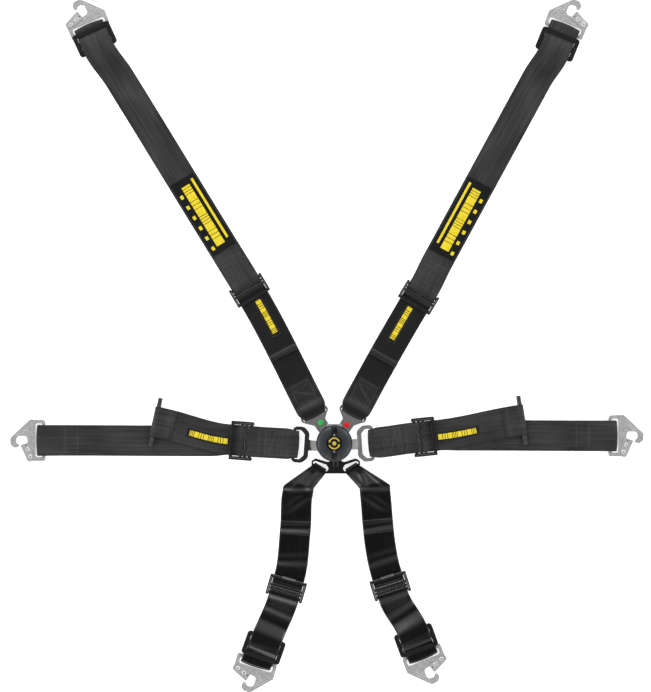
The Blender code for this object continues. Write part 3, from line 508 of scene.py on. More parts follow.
class Route:
    """A smooth plan curve through fittings, each of which keeps it straight over its own length."""

    def __init__(self, fittings):
        points, self.middles, last = [], [], None
        for x, y, heading, back, front in fittings:
            along = unit(heading).to_2d()
            middle = Vector((x, y))
            start, end = middle - along * back, middle + along * front
            points += [start] if last is None else self.curve(*last, start, along)
            points += self.curve(start, along, middle, along)
            self.middles.append(len(points) - 1)
            points += self.curve(middle, along, end, along)
            last = (end, along)
        extra = 30.0
        first_way, last_way = (points[1] - points[0]).normalized(), last[1]
        points = [points[0] - first_way * extra] + points + [points[-1] + last_way * extra]
        self.points = np.array(points)
        steps = np.linalg.norm(np.diff(self.points, axis=0), axis=1)
        self.s = np.concatenate([[0.0], np.cumsum(steps)])
        self.stops = [self.s[index + 1] for index in self.middles]
        self.s = self.s - self.stops[0]
        ways = np.diff(self.points, axis=0) / steps[:, None]
        self.middle_s = (self.s[1:] + self.s[:-1]) / 2
        self.turn = np.unwrap(np.arctan2(ways[:, 1], ways[:, 0]))

    @staticmethod
    def curve(a, along_a, b, along_b, step=2.0):
        chord = (b - a).length
        if chord < 0.01:
            return []
        count = max(1, round(chord / step))
        found = []
        for index in range(1, count + 1):
            t = index / count
            h00, h10 = 2 * t**3 - 3 * t**2 + 1, t**3 - 2 * t**2 + t
            h01, h11 = -2 * t**3 + 3 * t**2, t**3 - t**2
            found.append(a * h00 + along_a * chord * h10 + b * h01 + along_b * chord * h11)
        return found

    def station(self, number):
        return self.stops[number] - self.stops[0]

    def at(self, s, spread=4.0):
        """The plan position and the smoothed unit heading at s."""
        x, y = (float(np.interp(s, self.s, self.points[:, k])) for k in (0, 1))
        turn = sum(float(np.interp(s + d, self.middle_s, self.turn)) for d in (-spread, 0.0, spread)) / 3
        return Vector((x, y)), Vector((math.cos(turn), math.sin(turn)))


def arc(centre_s, centre_z, radius, start, end, steps=14):
    turns = [math.radians(start + (end - start) * step / steps) for step in range(steps + 1)]
    return [(centre_s + radius * math.cos(turn), centre_z + radius * math.sin(turn)) for turn in turns]


def softened(path, longest=4.0, rounds=2):
    """The path with its corners cut and its long steps filled in."""
    points = [np.array(point) for point in path]
    points = [points[0]] + [b for a, b in zip(points, points[1:]) if np.linalg.norm(b - a) > 0.03]
    for _ in range(rounds):
        cut = [points[0]]
        for a, b in zip(points, points[1:]):
            reach = min(0.25, 3.0 / max(np.linalg.norm(b - a), 0.001))
            cut += [a + (b - a) * reach, b - (b - a) * reach]
        points = cut + [points[-1]]
    dense = [points[0]]
    for a, b in zip(points, points[1:]):
        length = np.linalg.norm(b - a)
        if length < 0.02:
            continue
        count = max(1, math.ceil(length / longest))
        dense += [a + (b - a) * index / count for index in range(1, count + 1)]
    thin = [dense[0]]
    for point in dense[1:-1]:
        if np.linalg.norm(point - thin[-1]) > 0.25:
            thin.append(point)
    return thin + [dense[-1]]


def section(columns=16):
    """A belt's cross-section: (across from -1 to 1, height in millimetres, side), round the edges."""
    half, round_end = WEB_THICK / 2, 0.6
    rim = 1.0 - round_end / WEB_HALF
    across = [-rim + 2 * rim * step / columns for step in range(columns + 1)]
    shoulder, shoulder_height = 1.0 - 0.15 / WEB_HALF, half * 0.55
    right = [(t, half) for t in across]
    right += [(shoulder, shoulder_height), (1.0, 0.0), (shoulder, -shoulder_height)]
    return right + [(-t, -h) for t, h in right]


class Belt:
    """Webbing lofted along a path of (s, z) points over a route.

    half_width gives half the belt's width at s. ruled=(s0, s1) makes the belt's edges straight between
    those places, as where it is gathered onto a short bar. lift(s, t) raises the surface, and bow moves
    the middle of the belt's end past its edges.
    """

    def __init__(self, path, route, half_width=None, ruled=None, lift=None, bow=None):
        half_width = half_width or (lambda s: WEB_HALF)
        self.rows, self.path = [], softened(path)
        ends = [self.edges(route, s, half_width) for s in ruled] if ruled else None
        for index, (s, z) in enumerate(self.path):
            if ruled and ruled[0] < s < ruled[1]:
                share = (s - ruled[0]) / (ruled[1] - ruled[0])
                left, right = (ends[0][k] + (ends[1][k] - ends[0][k]) * share for k in (0, 1))
            else:
                left, right = self.edges(route, s, half_width)
            middle = (left + right) / 2
            self.rows.append((Vector((middle.x, middle.y, z)), (left - right) / 2, half_width(s), s))
        self.lift, self.bow = lift, bow
        steps = [(b[0] - a[0]).length for a, b in zip(self.rows, self.rows[1:])]
        self.v = np.concatenate([[0.0], np.cumsum(steps)])
        self.length = float(self.v[-1])
        self.frames = [self.row_frame(index) for index in range(len(self.rows))]

    @staticmethod
    def edges(route, s, half_width):
        middle, along = route.at(s)
        across = Vector((-along.y, along.x)) * half_width(s)
        return middle + across, middle - across

    def row_frame(self, index):
        before, after = self.rows[max(0, index - 1)][0], self.rows[min(len(self.rows) - 1, index + 1)][0]
        along = (after - before).normalized()
        across = Vector((*self.rows[index][1], 0.0))
        side = across.normalized()
        side = (side - along * side.dot(along)).normalized()
        return along, across, along.cross(side).normalized()

    def point(self, index, t, h):
        """A surface point at a row: t from -1 to 1 across, h along the normal."""
        middle, _, _, s = self.rows[index]
        along, across, normal = self.frames[index]
        if self.lift:
            h += self.lift(s, t) * (1.0 if normal.z > 0 else -1.0)
        here = middle + across * t + normal * h
        if self.bow:
            here += Vector((*self.heading(index), 0.0)) * self.bow(s, t)
        return here

    def mesh(self, name):
        shell = bmesh.new()
        uv_layer = shell.loops.layers.uv.new("UVMap")
        outline = section()
        rings = []
        for index, v in enumerate(self.v):
            ring = vertices(shell, [self.point(index, t, h) for t, h in outline])
            rings.append([(vertex, (t * WEB_HALF * MM, v * MM)) for vertex, (t, _) in zip(ring, outline)])
        mapped_skin(shell, uv_layer, rings)
        for ring in (rings[0], rings[-1]):
            corners = [(vertex, (u, v + h * MM)) for (vertex, (u, v)), (_, h) in zip(ring, outline)]
            mapped(shell, uv_layer, corners)
        return finished(name, shell, 50.0)

    def place_of(self, s):
        """The length along the belt at which it passes s, on its highest layer."""
        near = [(abs(row[3] - s), index) for index, row in enumerate(self.rows) if abs(row[3] - s) < 4.5]
        _, index = max(near, key=lambda found: self.rows[found[1]][0].z - found[0] * 0.05)
        forwards = self.frames[index][0].dot(Vector((*self.heading(index), 0.0))) > 0
        return float(self.v[index] + (s - self.rows[index][3]) * (1.0 if forwards else -1.0))

    def heading(self, index):
        across = self.rows[index][1].normalized()
        return Vector((across.y, -across.x))

    def surface(self, v, t, h):
        """A point above the belt's upward face: v along its length and t across, both in millimetres."""
        index = int(np.clip(np.searchsorted(self.v, v) - 1, 0, len(self.rows) - 2))
        share = (v - self.v[index]) / max(self.v[index + 1] - self.v[index], 1e-6)
        found = []
        for row in (index, index + 1):
            up = 1.0 if self.frames[row][2].z > 0 else -1.0
            found.append(self.point(row, t / self.rows[row][2], up * (WEB_THICK / 2 + h)))
        return found[0].lerp(found[1], share)


# ---------------------------------------------------------------- stitches and labels

def stitch(shell, a, b, up, width=0.34, height=0.22):
    """One raised stitch between two points, as a spindle with five sides."""
    along = b - a
    if along.length < 0.2:
        return
    side = along.cross(up).normalized()
    rings = [vertices(shell, [a]) * 5]
    for share in (0.25, 0.75):
        middle = a + along * share
        rings.append(vertices(shell, [middle + side * x * width + up * y * height for x, y in circle(1.0, 5)]))
    skin(shell, rings + [vertices(shell, [b]) * 5])


def sew(shell, belt, points, pitch=3.3, gap=0.9, h=0.05):
    """Stitches along a line of (v, t) points on a belt."""
    for start, end in zip(points, points[1:]):
        start, end = Vector(start), Vector(end)
        count = max(1, round((end - start).length / pitch))
        for index in range(count):
            shares = [(index + inset) / count for inset in (gap / pitch / 2, 1.0 - gap / pitch / 2)]
            a, b = (belt.surface(*start.lerp(end, share), h) for share in shares)
            middle = start.lerp(end, sum(shares) / 2)
            up = belt.surface(*middle, 1.0) - belt.surface(*middle, 0.0)
            stitch(shell, a, b, up.normalized())


def box(v0, v1, t):
    """A closed line of (v, t) points."""
    return [(v0, -t), (v1, -t), (v1, t), (v0, t), (v0, -t)]


def rows_across(shell, belt, start, count, half, spacing=2.9):
    """Close rows of stitches that run across a belt."""
    for row in range(count):
        v = start + row * spacing
        sew(shell, belt, [(v, -half), (v, half)], pitch=2.7, gap=1.1)


def sewn_box(shell, belt, start, end, half=20.5, turns=1):
    """A load-bearing seam: a box, close rows at both of its ends, and diagonals between them."""
    sew(shell, belt, box(start, end, half))
    rows_across(shell, belt, start + 2.6, 3, half - 1.5)
    rows_across(shell, belt, end - 7.4, 3, half - 1.5)
    low, high = start + 10.0, end - 9.0
    points = []
    for index in range(turns + 1):
        side = 1.0 if index % 2 else -1.0
        points.append((low if index % 2 == 0 else high, side * (half - 2.0)))
    for offset in (0.0, 2.4):
        sew(shell, belt, [(v + offset, t) for v, t in points], pitch=2.8)


def bar_tacks(shell, belt, start, end, lines):
    """Parallel rows of stitches along a belt."""
    half = 21.0
    for line in range(lines):
        t = -half + 2 * half * line / (lines - 1)
        sew(shell, belt, [(start, t), (end, t)], pitch=3.0)


def raised(shell, belt, corners, low, high, uv_layer):
    """A flat-topped pad on the belt between two (v, t) corners, following the belt."""
    (v0, t0), (v1, t1) = corners
    steps_per_mm, lip, shoulder = 0.35, 0.18, 0.1
    count = max(1, math.ceil(abs(v1 - v0) * steps_per_mm))
    rings = []
    for index in range(count + 1):
        v = v0 + (v1 - v0) * index / count
        top = high - (lip if index in (0, count) else 0.0)
        ring = [(t0, low), (t0, high - shoulder), (t0 + lip, top)]
        ring += [(t1 - lip, top), (t1, high - shoulder), (t1, low)]
        points = vertices(shell, [belt.surface(v, t, h) for t, h in ring])
        rings.append([(point, (t * MM, v * MM)) for point, (t, _) in zip(points, ring)])
    mapped_skin(shell, uv_layer, rings)
    for ring in (rings[0], rings[-1]):
        mapped(shell, uv_layer, ring)


def label_piece(name, body, slot, material, belt, pads, low, high):
    """Pads on a belt, in one piece."""
    shell = bmesh.new()
    uv_layer = shell.loops.layers.uv.new("UVMap")
    for pad in pads:
        raised(shell, belt, pad, low, high, uv_layer)
    made(name, shell, material, body, slot)


def block_row(start, length, t, height, count):
    """A close row of plain blocks, each whole or cut into two or three bars, as a pattern with no meaning."""
    pads, pitch, seam = [], length / count, 0.95
    for index in range(count):
        bars = (1, 2, 1, 3)[index % 4]
        first, wide = start + index * pitch + seam / 2, (pitch - seam * bars) / bars
        for bar in range(bars):
            v = first + bar * (wide + seam)
            pads.append(((v, t - height / 2), (v + wide, t + height / 2)))
    return pads


def small_label(belt_name, body, belt, start, length, t):
    """A dark sewn patch with a row of yellow blocks."""
    label_piece(f"{belt_name}_patch", body, "label_patch", PATCH, belt,
                [((start - 3.0, t - 8.0), (start + length + 5.0, t + 8.0))], 0.0, 0.3)
    label_piece(f"{belt_name}_blocks", body, "label_print", YELLOW, belt,
                block_row(start, length, t, 9.0, 8), 0.25, 0.5)
    shell = bmesh.new()
    edge = [(v, t + side) for v, side in box(start - 2.0, start + length + 4.0, 7.0)]
    sew(shell, belt, edge, pitch=2.4, h=0.3)
    made(f"{belt_name}_patch_stitches", shell, THREAD, body, "belt_webbing")


def large_label(belt_name, body, belt, near, inner):
    """The long label on a shoulder belt: a rule, a row of blocks and a row of small marks.

    inner is the side of the belt, 1 or -1, that faces the other shoulder belt.
    """
    length = 112.0
    label_piece(f"{belt_name}_large_patch", body, "label_patch", PATCH, belt,
                [((near - 12.0, -23.0), (near + length + 14.0, 23.0))], 0.0, 0.2)
    low, high = sorted((inner * 12.6, inner * 16.6))
    pads = [((near + 5.0, low), (near + length + 5.0, high))]
    pads += block_row(near, length, inner * -0.5, 15.0, 8)
    for index in range(6):
        v = near - 2.0 + index * 19.4
        low, high = sorted((inner * -12.4, inner * -17.6))
        pads.append(((v, low), (v + 6.4, high)))
    label_piece(f"{belt_name}_large_blocks", body, "label_print", YELLOW, belt, pads, 0.15, 0.4)
    shell = bmesh.new()
    sew(shell, belt, box(near - 11.0, near + length + 13.0, 22.2), pitch=2.6, h=0.2)
    made(f"{belt_name}_large_stitches", shell, THREAD, body, "belt_webbing")


# ---------------------------------------------------------------- belt shapes

def widening(narrow, start, end, power):
    """Half the width of a belt that is gathered at its bar. A power above 1 rounds its corners."""
    def half_width(s):
        t = min(1.0, max(0.0, (s - start) / (end - start)))
        return narrow + (WEB_HALF - narrow) * (1.0 - (1.0 - t)**power)
    return half_width


def gathered(crease_s):
    """Half a crotch belt's width: as wide as its slot where it passes through, then fanned out."""
    def half_width(s):
        if s < 2.0:
            return 11.0 + 1.8 * min(1.0, max(0.0, (s + 1.0) / 3.0))
        return 12.8 + (WEB_HALF - 12.8) * min(1.0, (s - 2.0) / (crease_s - 2.0))
    return half_width


def folds(narrow, end, height):
    """Creases that run along a gathered belt and fade out where it is flat again."""
    def lift(s, t):
        share = min(1.0, max(0.0, (end - abs(s)) / end))
        rise = min(1.0, max(0.0, (s - 5.0) / 8.0))
        wave = math.cos(t * 8.5 + s * 0.05) + 0.5 * math.cos(t * 15.0 - s * 0.11)
        return height * share * rise * wave * (1.0 - narrow / WEB_HALF)
    return lift


def ridge(distance, half):
    """A straight-sided ridge with a rounded top."""
    return max(0.0, 1.0 - math.sqrt((distance / half)**2 + 0.02))


def crotch_folds(crease_s, outer_side):
    """The creases of a crotch belt between its bar and its bend, and the soft bulge below the bend."""
    def lift(s, t):
        t = t * outer_side
        near = min(1.0, max(0.0, (s - 6.0) / 8.0))
        above = near * min(1.0, max(0.0, (crease_s + 6.0 - s) / 14.0))
        share = min(1.0, max(0.0, s / crease_s))
        high = above * 2.2 * ridge(t - (0.55 - 1.25 * share), 0.42)
        high += above * 1.6 * ridge(t - (0.95 - 0.35 * share), 0.3)
        high += above * 0.9 * ridge(t + 0.75, 0.28)
        high += 1.5 * ridge((s - crease_s) / 8.0, 1.0)
        below = s - crease_s - 4.0
        if 0.0 < below < 42.0:
            swell = math.sin(math.pi * below / 42.0)
            high += 2.6 * swell * ridge(t - (-0.95 + below * 0.045), 0.6)
        return high
    return lift


def surge(places, height, half, slant=3.0):
    """Soft bulges across a belt at some places along it."""
    def lift(s, t):
        return sum(height * math.exp(-((s - at + slant * t) / half)**2) for at in places)
    return lift


def together(*lifts):
    return lambda s, t: sum(lift(s, t) for lift in lifts)


def waviness(height, seed, until=math.inf):
    """Slow unevenness of a belt that lies flat. It fades out before the belt reaches until."""
    def lift(s, t):
        fade = min(1.0, max(0.0, (until - s) / 40.0))
        return height * fade * noise.noise(Vector((s * 0.018, t * 0.8, seed)))
    return lift


def tongue_end(far):
    """From under a tongue's bar, round it with a little slack, and down to the floor again."""
    slack, sink, top = 1.2, 45.0, TONGUE_MIDDLE + TONGUE_LOOP
    path = [(far, FLOOR_LAYER + 0.05), (6.0, TONGUE_MIDDLE - TONGUE_LOOP - 0.4)]
    path += arc(-slack, TONGUE_MIDDLE, TONGUE_LOOP, -90.0, -270.0)
    return path + [(5.0, top - 0.2), (11.0, top - 1.8), (sink, SECOND_LAYER + 0.15), (sink + 15.0, FLOOR_LAYER)]


def tail_path(length, hem):
    """A tail from its lock bar. It dips behind the bar, and ends in a rolled hem of that length."""
    path = [(4.0, SECOND_LAYER), (1.0, SECOND_LAYER)]
    path += arc(0.0, LOCK_BAR_HEIGHT, LOCK_LOOP, -90.0, -270.0)
    path += [(2.0, 8.5), (3.6, 7.0), (5.2, 5.2), (7.4, 4.1), (12.0, 3.6), (22.0, 3.2), (29.0, 2.8)]
    path += [(34.0, SECOND_LAYER)]
    if hem > 0.0:
        radius = 1.5
        path += [(length - hem - 6.0, SECOND_LAYER), (length - 3.0, SECOND_LAYER + 0.1)]
        path += arc(length - 2.0, SECOND_LAYER + radius, radius, -90.0, 90.0, 10)
        path += [(length - hem * 0.45, THIRD_LAYER + 2.2), (length - hem * 0.8, THIRD_LAYER + 0.1),
                 (length - hem, THIRD_LAYER + 0.1)]
    return path


def sewn_end(bar_s, far):
    path = [(bar_s + far, SECOND_LAYER), (bar_s + 9.0, SECOND_LAYER)]
    path += [(bar_s + 3.0, END_BAR_HEIGHT - END_LOOP)]
    path += arc(bar_s - 2.0, END_BAR_HEIGHT, END_LOOP, -90.0, -270.0)
    path += [(bar_s + 3.5, END_BAR_HEIGHT + END_LOOP), (bar_s + 9.0, THIRD_LAYER + 1.0)]
    path += [(bar_s + 14.0, THIRD_LAYER + 0.1), (bar_s + far + 2.0, THIRD_LAYER)]
    return path + [(bar_s + far + 12.0, FLOOR_LAYER)]


def hook_end(hook_s, return_to):
    path = [(hook_s + HOOK_BAR_U, HOOK_LAYER), (hook_s - 5.0, HOOK_LAYER)]
    path += arc(hook_s - 5.0, HOOK_BAR_Z, HOOK_LOOP, 90.0, -90.0)
    return path + [(return_to, FLOOR_LAYER)]


def bowed(hook_s, depth=1.6):
    """The belt's end at a hook curves: its edges stay behind its middle."""
    def bow(s, t):
        near = min(1.0, max(0.0, (s - hook_s + 16.0) / 12.0))
        return 0.0 if near <= 0.0 else -depth * near * t * t
    return bow


def strap_piece(name, belt, material, body, slot, node):
    item = piece(name, belt.mesh(name), [material], body, slot, node)
    return item


def blended(strap, route, start, end):
    """Bakes a strap's transform into its mesh. The points it finds on its route, at start and end, are not
    used.
    """
    points = [route.at(s)[0] for s in (start, end)]
    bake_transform(strap)


def adjuster_length(belt):
    return ADJUSTER_LENGTH[belt.split("_")[0]]


def brief(stops):
    """Bends as a route takes them, straight over half a millimetre to each side."""
    return [(*stop, 0.5, 0.5) for stop in stops]


def harness_belt(belt):
    """A shoulder or crotch belt."""
    crotch = belt.startswith("crotch")
    side = 1.0 if belt.endswith("left") else -1.0
    # Shoulder belts take the darker copy of the webbing, with painted shade, for their inner straps and tails.
    near_look, look, slot = SHADED_WEBBING, WEBBING, "belt_webbing"
    if crotch:
        near_look, look, slot = GLOSS, GLOSS, "crotch_webbing"
    near_body, far_body = f"{belt}_inner_belt", f"{belt}_outer_belt"
    half = adjuster_length(belt) / 2 + 2.0
    end_bar = adjuster_length(belt) / 2 - END_BAR_INSET
    bar, adjuster, hook = bar_place(belt), adjuster_place(belt), hook_place(belt)
    slide = fitting_place(f"{belt}_three_bar_slide", belt)
    inner_bends, outer_bends = (BENDS[belt], []) if crotch else ([], BENDS[belt])
    seed = float(sum(map(ord, belt)) % 17)

    inner_route = Route([(*bar, 6.0, 6.0), *brief(inner_bends), (*adjuster, half, half)])
    reach = inner_route.station(-1)
    if crotch:
        crease = inner_route.station(1)
        lift = together(crotch_folds(crease, -side), surge((crease + 62.0,), 2.2, 9.0))
        shape = dict(half_width=gathered(crease), ruled=(2.0, crease), lift=lift)
    else:
        lift = together(folds(19.5, 46.0, 0.5), pillow)
        shape = dict(half_width=widening(19.3, -1.5, 15.0, 2.6), lift=lift, bow=loop_bow)
    inner = Belt(tongue_end(40.0) + [(reach + 1.0, FLOOR_LAYER)], inner_route, **shape)
    strap = strap_piece(f"{belt}_inner_strap", inner, near_look, None, slot, f"{belt}_webbing_inner")
    blended(strap, inner_route, 70.0, reach - half - 2.0)

    back = [(x, y, heading + 180.0) for x, y, heading in (adjuster, *reversed(inner_bends), bar)]
    tail_route = Route([(*back[0], half, half), *brief(back[1:-1]), (*back[-1], 4.0, 4.0)])
    tail_length, hem = TAIL_LENGTH[belt], 24.0 if crotch else 10.0
    if crotch:
        swells = together(surge((48.0,), 3.0, 9.0), surge((100.0,), 1.6, 7.0))
    else:
        hem_ridges = surge((tail_length - 2.0, tail_length - 8.2), 1.0, 2.0, 0.0)
        swells = together(waviness(0.3, seed), hem_ridges)
    tail = Belt(tail_path(tail_length, hem), tail_route, lift=swells)
    strap_piece(f"{belt}_tail_strap", tail, near_look, far_body, slot, f"{belt}_webbing_tail")

    anchor = [(*slide, 12.0, 12.0), (*hook, 8.0, 2.0)]
    outer_route = Route([(*adjuster, half, half), *brief(outer_bends), *anchor])
    slide_s, hook_s = outer_route.station(-2), outer_route.station(-1)
    sewn, rise = (24.0, 40.0) if crotch else (48.0, 48.0)
    path = sewn_end(end_bar, sewn)
    path += [(slide_s - rise, FLOOR_LAYER), (slide_s - 24.0, SLIDE_LAYER - 2.0), (slide_s - 15.0, SLIDE_LAYER)]
    path += [(slide_s + 5.6, SLIDE_LAYER), (slide_s + 11.4, HOOK_LAYER)] + hook_end(hook_s, slide_s - 25.0)
    lift = together(waviness(0.2 if crotch else 0.14, seed, slide_s), surge((slide_s - 6.0,), 0.7, 5.0))
    outer = Belt(path, outer_route, lift=lift, bow=bowed(hook_s, 2.2))
    strap_piece(f"{belt}_outer_strap", outer, look, far_body, slot, f"{belt}_webbing_outer")

    if not crotch:
        shell = bmesh.new()
        start = inner.place_of(16.0)
        sewn_box(shell, inner, start, start + 38.0, half=16.5, turns=2)
        sew(shell, inner, [(start + 40.0, -20.0), (start + 40.0, 20.0)])
        made(f"{belt}_inner_stitches", shell, THREAD, near_body, slot)

    shell = bmesh.new()
    start = outer.place_of(end_bar + 8.0)
    if crotch:
        rows_across(shell, outer, start + 2.0, 5, 20.0)
    else:
        bar_tacks(shell, outer, start + 5.0, start + 16.0, 13)
        sewn_box(shell, outer, start + 18.0, start + 42.0, half=20.0)
    made(f"{belt}_outer_stitches", shell, THREAD, far_body, slot)

    shell = bmesh.new()
    hem_v = tail.place_of(tail_length - hem + 2.2)
    sew(shell, tail, [(hem_v, -22.5), (hem_v, 22.5)])
    made(f"{belt}_hem_stitches", shell, THREAD, far_body, slot)
    if not crotch:
        small_label(belt, far_body, tail, tail.place_of(20.0), 61.0, side * 3.0)
        large_label(belt, far_body, outer, outer.place_of(88.0), -side)


def pillow(s, t):
    """The stuffed end of a shoulder belt, over its tongue's bar."""
    return 1.1 * math.exp(-((s - 9.0) / 7.0)**2) * (1.0 - t * t) - 0.5 * math.exp(-((s - 20.0) / 5.0)**2)


def loop_bow(s, t):
    """A slack loop at a tongue's bar reaches furthest at its middle."""
    return -1.6 * (1.0 - t * t) * min(1.0, max(0.0, (1.0 - s) / 5.0))


def lap_belt(belt):
    side = 1.0 if belt.endswith("left") else -1.0
    near_body, far_body = f"{belt}_short_belt", f"{belt}_long_belt"
    half = adjuster_length(belt) / 2 + 2.0
    bar, adjuster, hook = bar_place(belt), adjuster_place(belt), hook_place(belt)
    inner_route = Route([(*bar, 6.0, 6.0), (*adjuster, half, half)])
    bar_s = inner_route.station(-1) - (adjuster_length(belt) / 2 - END_BAR_INSET)
    slack = 3.4 if belt == "lap_left" else 1.6
    end_top = END_BAR_HEIGHT + END_LOOP
    path = [(bar_s / 2 - 0.2, 5.4), (8.0, 5.3)] + arc(-slack, TONGUE_MIDDLE, TONGUE_LOOP, -90.0, -270.0)
    path += [(3.0, 12.2), (8.0, 10.9), (14.0, 8.2), (bar_s / 2, 7.4), (bar_s - 12.0, 7.1)]
    path += [(bar_s - 6.0, end_top + 0.7), (bar_s - 2.5, end_top + 0.2)]
    path += arc(bar_s + 2.0, END_BAR_HEIGHT, END_LOOP, 90.0, -90.0)
    path += [(bar_s - 3.0, END_BAR_HEIGHT - END_LOOP), (bar_s / 2 + 0.2, 5.2)]
    lift = together(folds(22.0, 30.0, 0.5), surge((20.0,), -0.5, 4.0))
    short = Belt(path, inner_route, widening(22.3, 0.0, 14.0, 2.2), lift=lift, bow=loop_bow)
    strap_piece(f"{belt}_short_strap", short, WEBBING, near_body, "belt_webbing", f"{belt}_webbing_short")

    outer_route = Route([(*adjuster, half, half), *brief(BENDS[belt]), (*hook, 30.0, 2.0)])
    hook_s = outer_route.station(-1)
    path = [(-1.0, FLOOR_LAYER), (hook_s - 84.0, FLOOR_LAYER), (hook_s - 70.0, SECOND_LAYER + 0.1),
            (hook_s - 42.0, SECOND_LAYER + 0.2)] + hook_end(hook_s, hook_s - 68.0)
    long = Belt(path, outer_route, lift=waviness(0.12, 5.0, hook_s - 30.0), bow=bowed(hook_s))
    strap = strap_piece(f"{belt}_long_strap", long, WEBBING, None, "belt_webbing", f"{belt}_webbing_long")
    blended(strap, outer_route, half + 2.0, hook_s - 100.0)

    rod = fitting_place(f"{belt}_pull_rod", belt)
    tail_route = Route([(*adjuster, 20.0, 20.0), (*rod, 12.0, 12.0)])
    rod_s = tail_route.station(-1)
    rod_z = centre(f"{belt}_pull_rod").z
    loop = ROD_RADIUS + 0.3 + WEB_THICK / 2
    path = tail_path(0.0, 0.0) + [(rod_s - 1.0, SECOND_LAYER)] + arc(rod_s, rod_z, loop, -90.0, 125.0)
    path += [(rod_s - 5.6, THIRD_LAYER + 1.6), (rod_s - 8.5, THIRD_LAYER + 0.4)]
    path += [(rod_s - 20.0, THIRD_LAYER + 0.5), (rod_s - 30.0, THIRD_LAYER)]
    tail = Belt(path, tail_route, lift=waviness(0.12, 9.0))
    strap_piece(f"{belt}_tail_strap", tail, WEBBING, near_body, "belt_webbing", f"{belt}_webbing_tail")
    pull_rod(belt, near_body, rod)

    shell = bmesh.new()
    start = short.place_of(18.0)
    sewn_box(shell, short, start, start + 29.0, half=20.0)
    bar_tacks(shell, short, start + 36.0, start + 41.0, 15)
    seam = tail.place_of(rod_s - 20.0)
    for v in (seam, seam + 3.0):
        sew(shell, tail, [(v, -23.0), (v, 23.0)])
    made(f"{belt}_short_stitches", shell, THREAD, near_body, "belt_webbing")
    shell = bmesh.new()
    end = long.place_of(hook_s - 46.0)
    for v in (end, end - 3.0, end - 22.0):
        sew(shell, long, [(v, -21.0), (v, 21.0)])
    made(f"{belt}_long_stitches", shell, THREAD, far_body, "belt_webbing")
    small_label(belt, near_body, tail, tail.place_of(22.0), 64.0, side * 3.0)


# ---------------------------------------------------------------- hardware

CROSSWAYS = Matrix.Rotation(math.pi / 2, 4, "X")
RAIL_INNER = 25.9
RAIL_OUTER = {"shoulder": 30.0, "crotch": 30.8, "lap": 31.6}
WORN_WIDTH = {"shoulder": 1.1, "crotch": 2.0, "lap": 0.7}


def pull_rod(belt, body, rod):
    """A ribbed rod with rounded ends."""
    half, groove = 40.0, 3.35
    profile = [(0.0, -half), (2.6, -half), (3.5, -half + 0.5), (ROD_RADIUS, -half + 1.4)]
    for ring in range(3):
        at = -half + 4.0 + ring * 1.8
        profile += [(ROD_RADIUS, at), (groove, at + 0.35), (groove, at + 0.75), (ROD_RADIUS, at + 1.1)]
    profile += [(radius, -height) for radius, height in reversed(profile)]
    shell = bmesh.new()
    lathe(shell, profile, place(*rod, centre(f"{belt}_pull_rod").z) @ CROSSWAYS, 32)
    made(f"{belt}_rod", shell, PLASTIC, body, "rod_plastic", f"{belt}_pull_rod")


def lock_bar(belt, body):
    """The fluted bar that grips the webbing."""
    node = f"{belt}_lock_bar"
    x, y, heading = adjuster_place(belt)
    points = np.array([vertex.co for vertex in frame["nodes"][node].data.vertices])
    reach = float(np.ptp(points @ np.array(unit(heading + 90.0)))) / 2 / MM
    shell = bmesh.new()
    fluted_bar(shell, place(x, y, heading, centre(node).z) @ CROSSWAYS, 2.2, reach, 96, 0.16)
    made(f"{belt}_lock", shell, BLACK_STEEL, body, "black_steel", node)


def fluted_bar(shell, matrix, radius, reach, steps, depth, flutes=16):
    """A bar with flutes of that depth between two plain ends."""
    end = [(0.0, 0.85, 0.0), (0.5, 1.0, 0.0), (2.0, 1.0, 0.0), (2.6, 1.0, depth)]
    levels = [(inset - reach, scale, cut) for inset, scale, cut in end]
    levels += [(reach - inset, scale, cut) for inset, scale, cut in reversed(end)]
    rings = []
    for height, scale, cut in levels:
        ring = []
        for step, (x, y) in enumerate(circle(1.0, steps)):
            r = radius * scale - cut * (0.5 + 0.5 * math.cos(2 * math.pi * step * flutes / steps))
            ring.append((r * x, r * y, height))
        rings.append(vertices(shell, ring, matrix))
    skin(shell, rings, ends=True)


def slab(shell, matrix, box, radius, low, high, edge):
    """A plate with round corners and a rounded upper edge, over a box (x0, y0, x1, y1)."""
    x0, y0, x1, y1 = box
    left, right, near, far = x0 + radius, x1 - radius, y0 + radius, y1 - radius
    outline, steps = [], 5
    for quarter, corner in enumerate(((right, far), (left, far), (left, near), (right, near))):
        for step in range(steps + 1):
            outline.append(Vector(corner) + unit(90.0 * (quarter + step / steps)).to_2d() * radius)
    inset = []
    for before, here, after in zip(outline[-1:] + outline[:-1], outline, outline[1:] + outline[:1]):
        way = (after - before).normalized()
        inset.append(here + Vector((-way.y, way.x)) * edge)
    soft = [a.lerp(b, 0.3) for a, b in zip(outline, inset)]
    levels = ((outline, low), (outline, high - edge), (soft, high - edge * 0.3), (inset, high))
    rings = [vertices(shell, [(*point, z) for point in points], matrix) for points, z in levels]
    skin(shell, rings, ends=True)


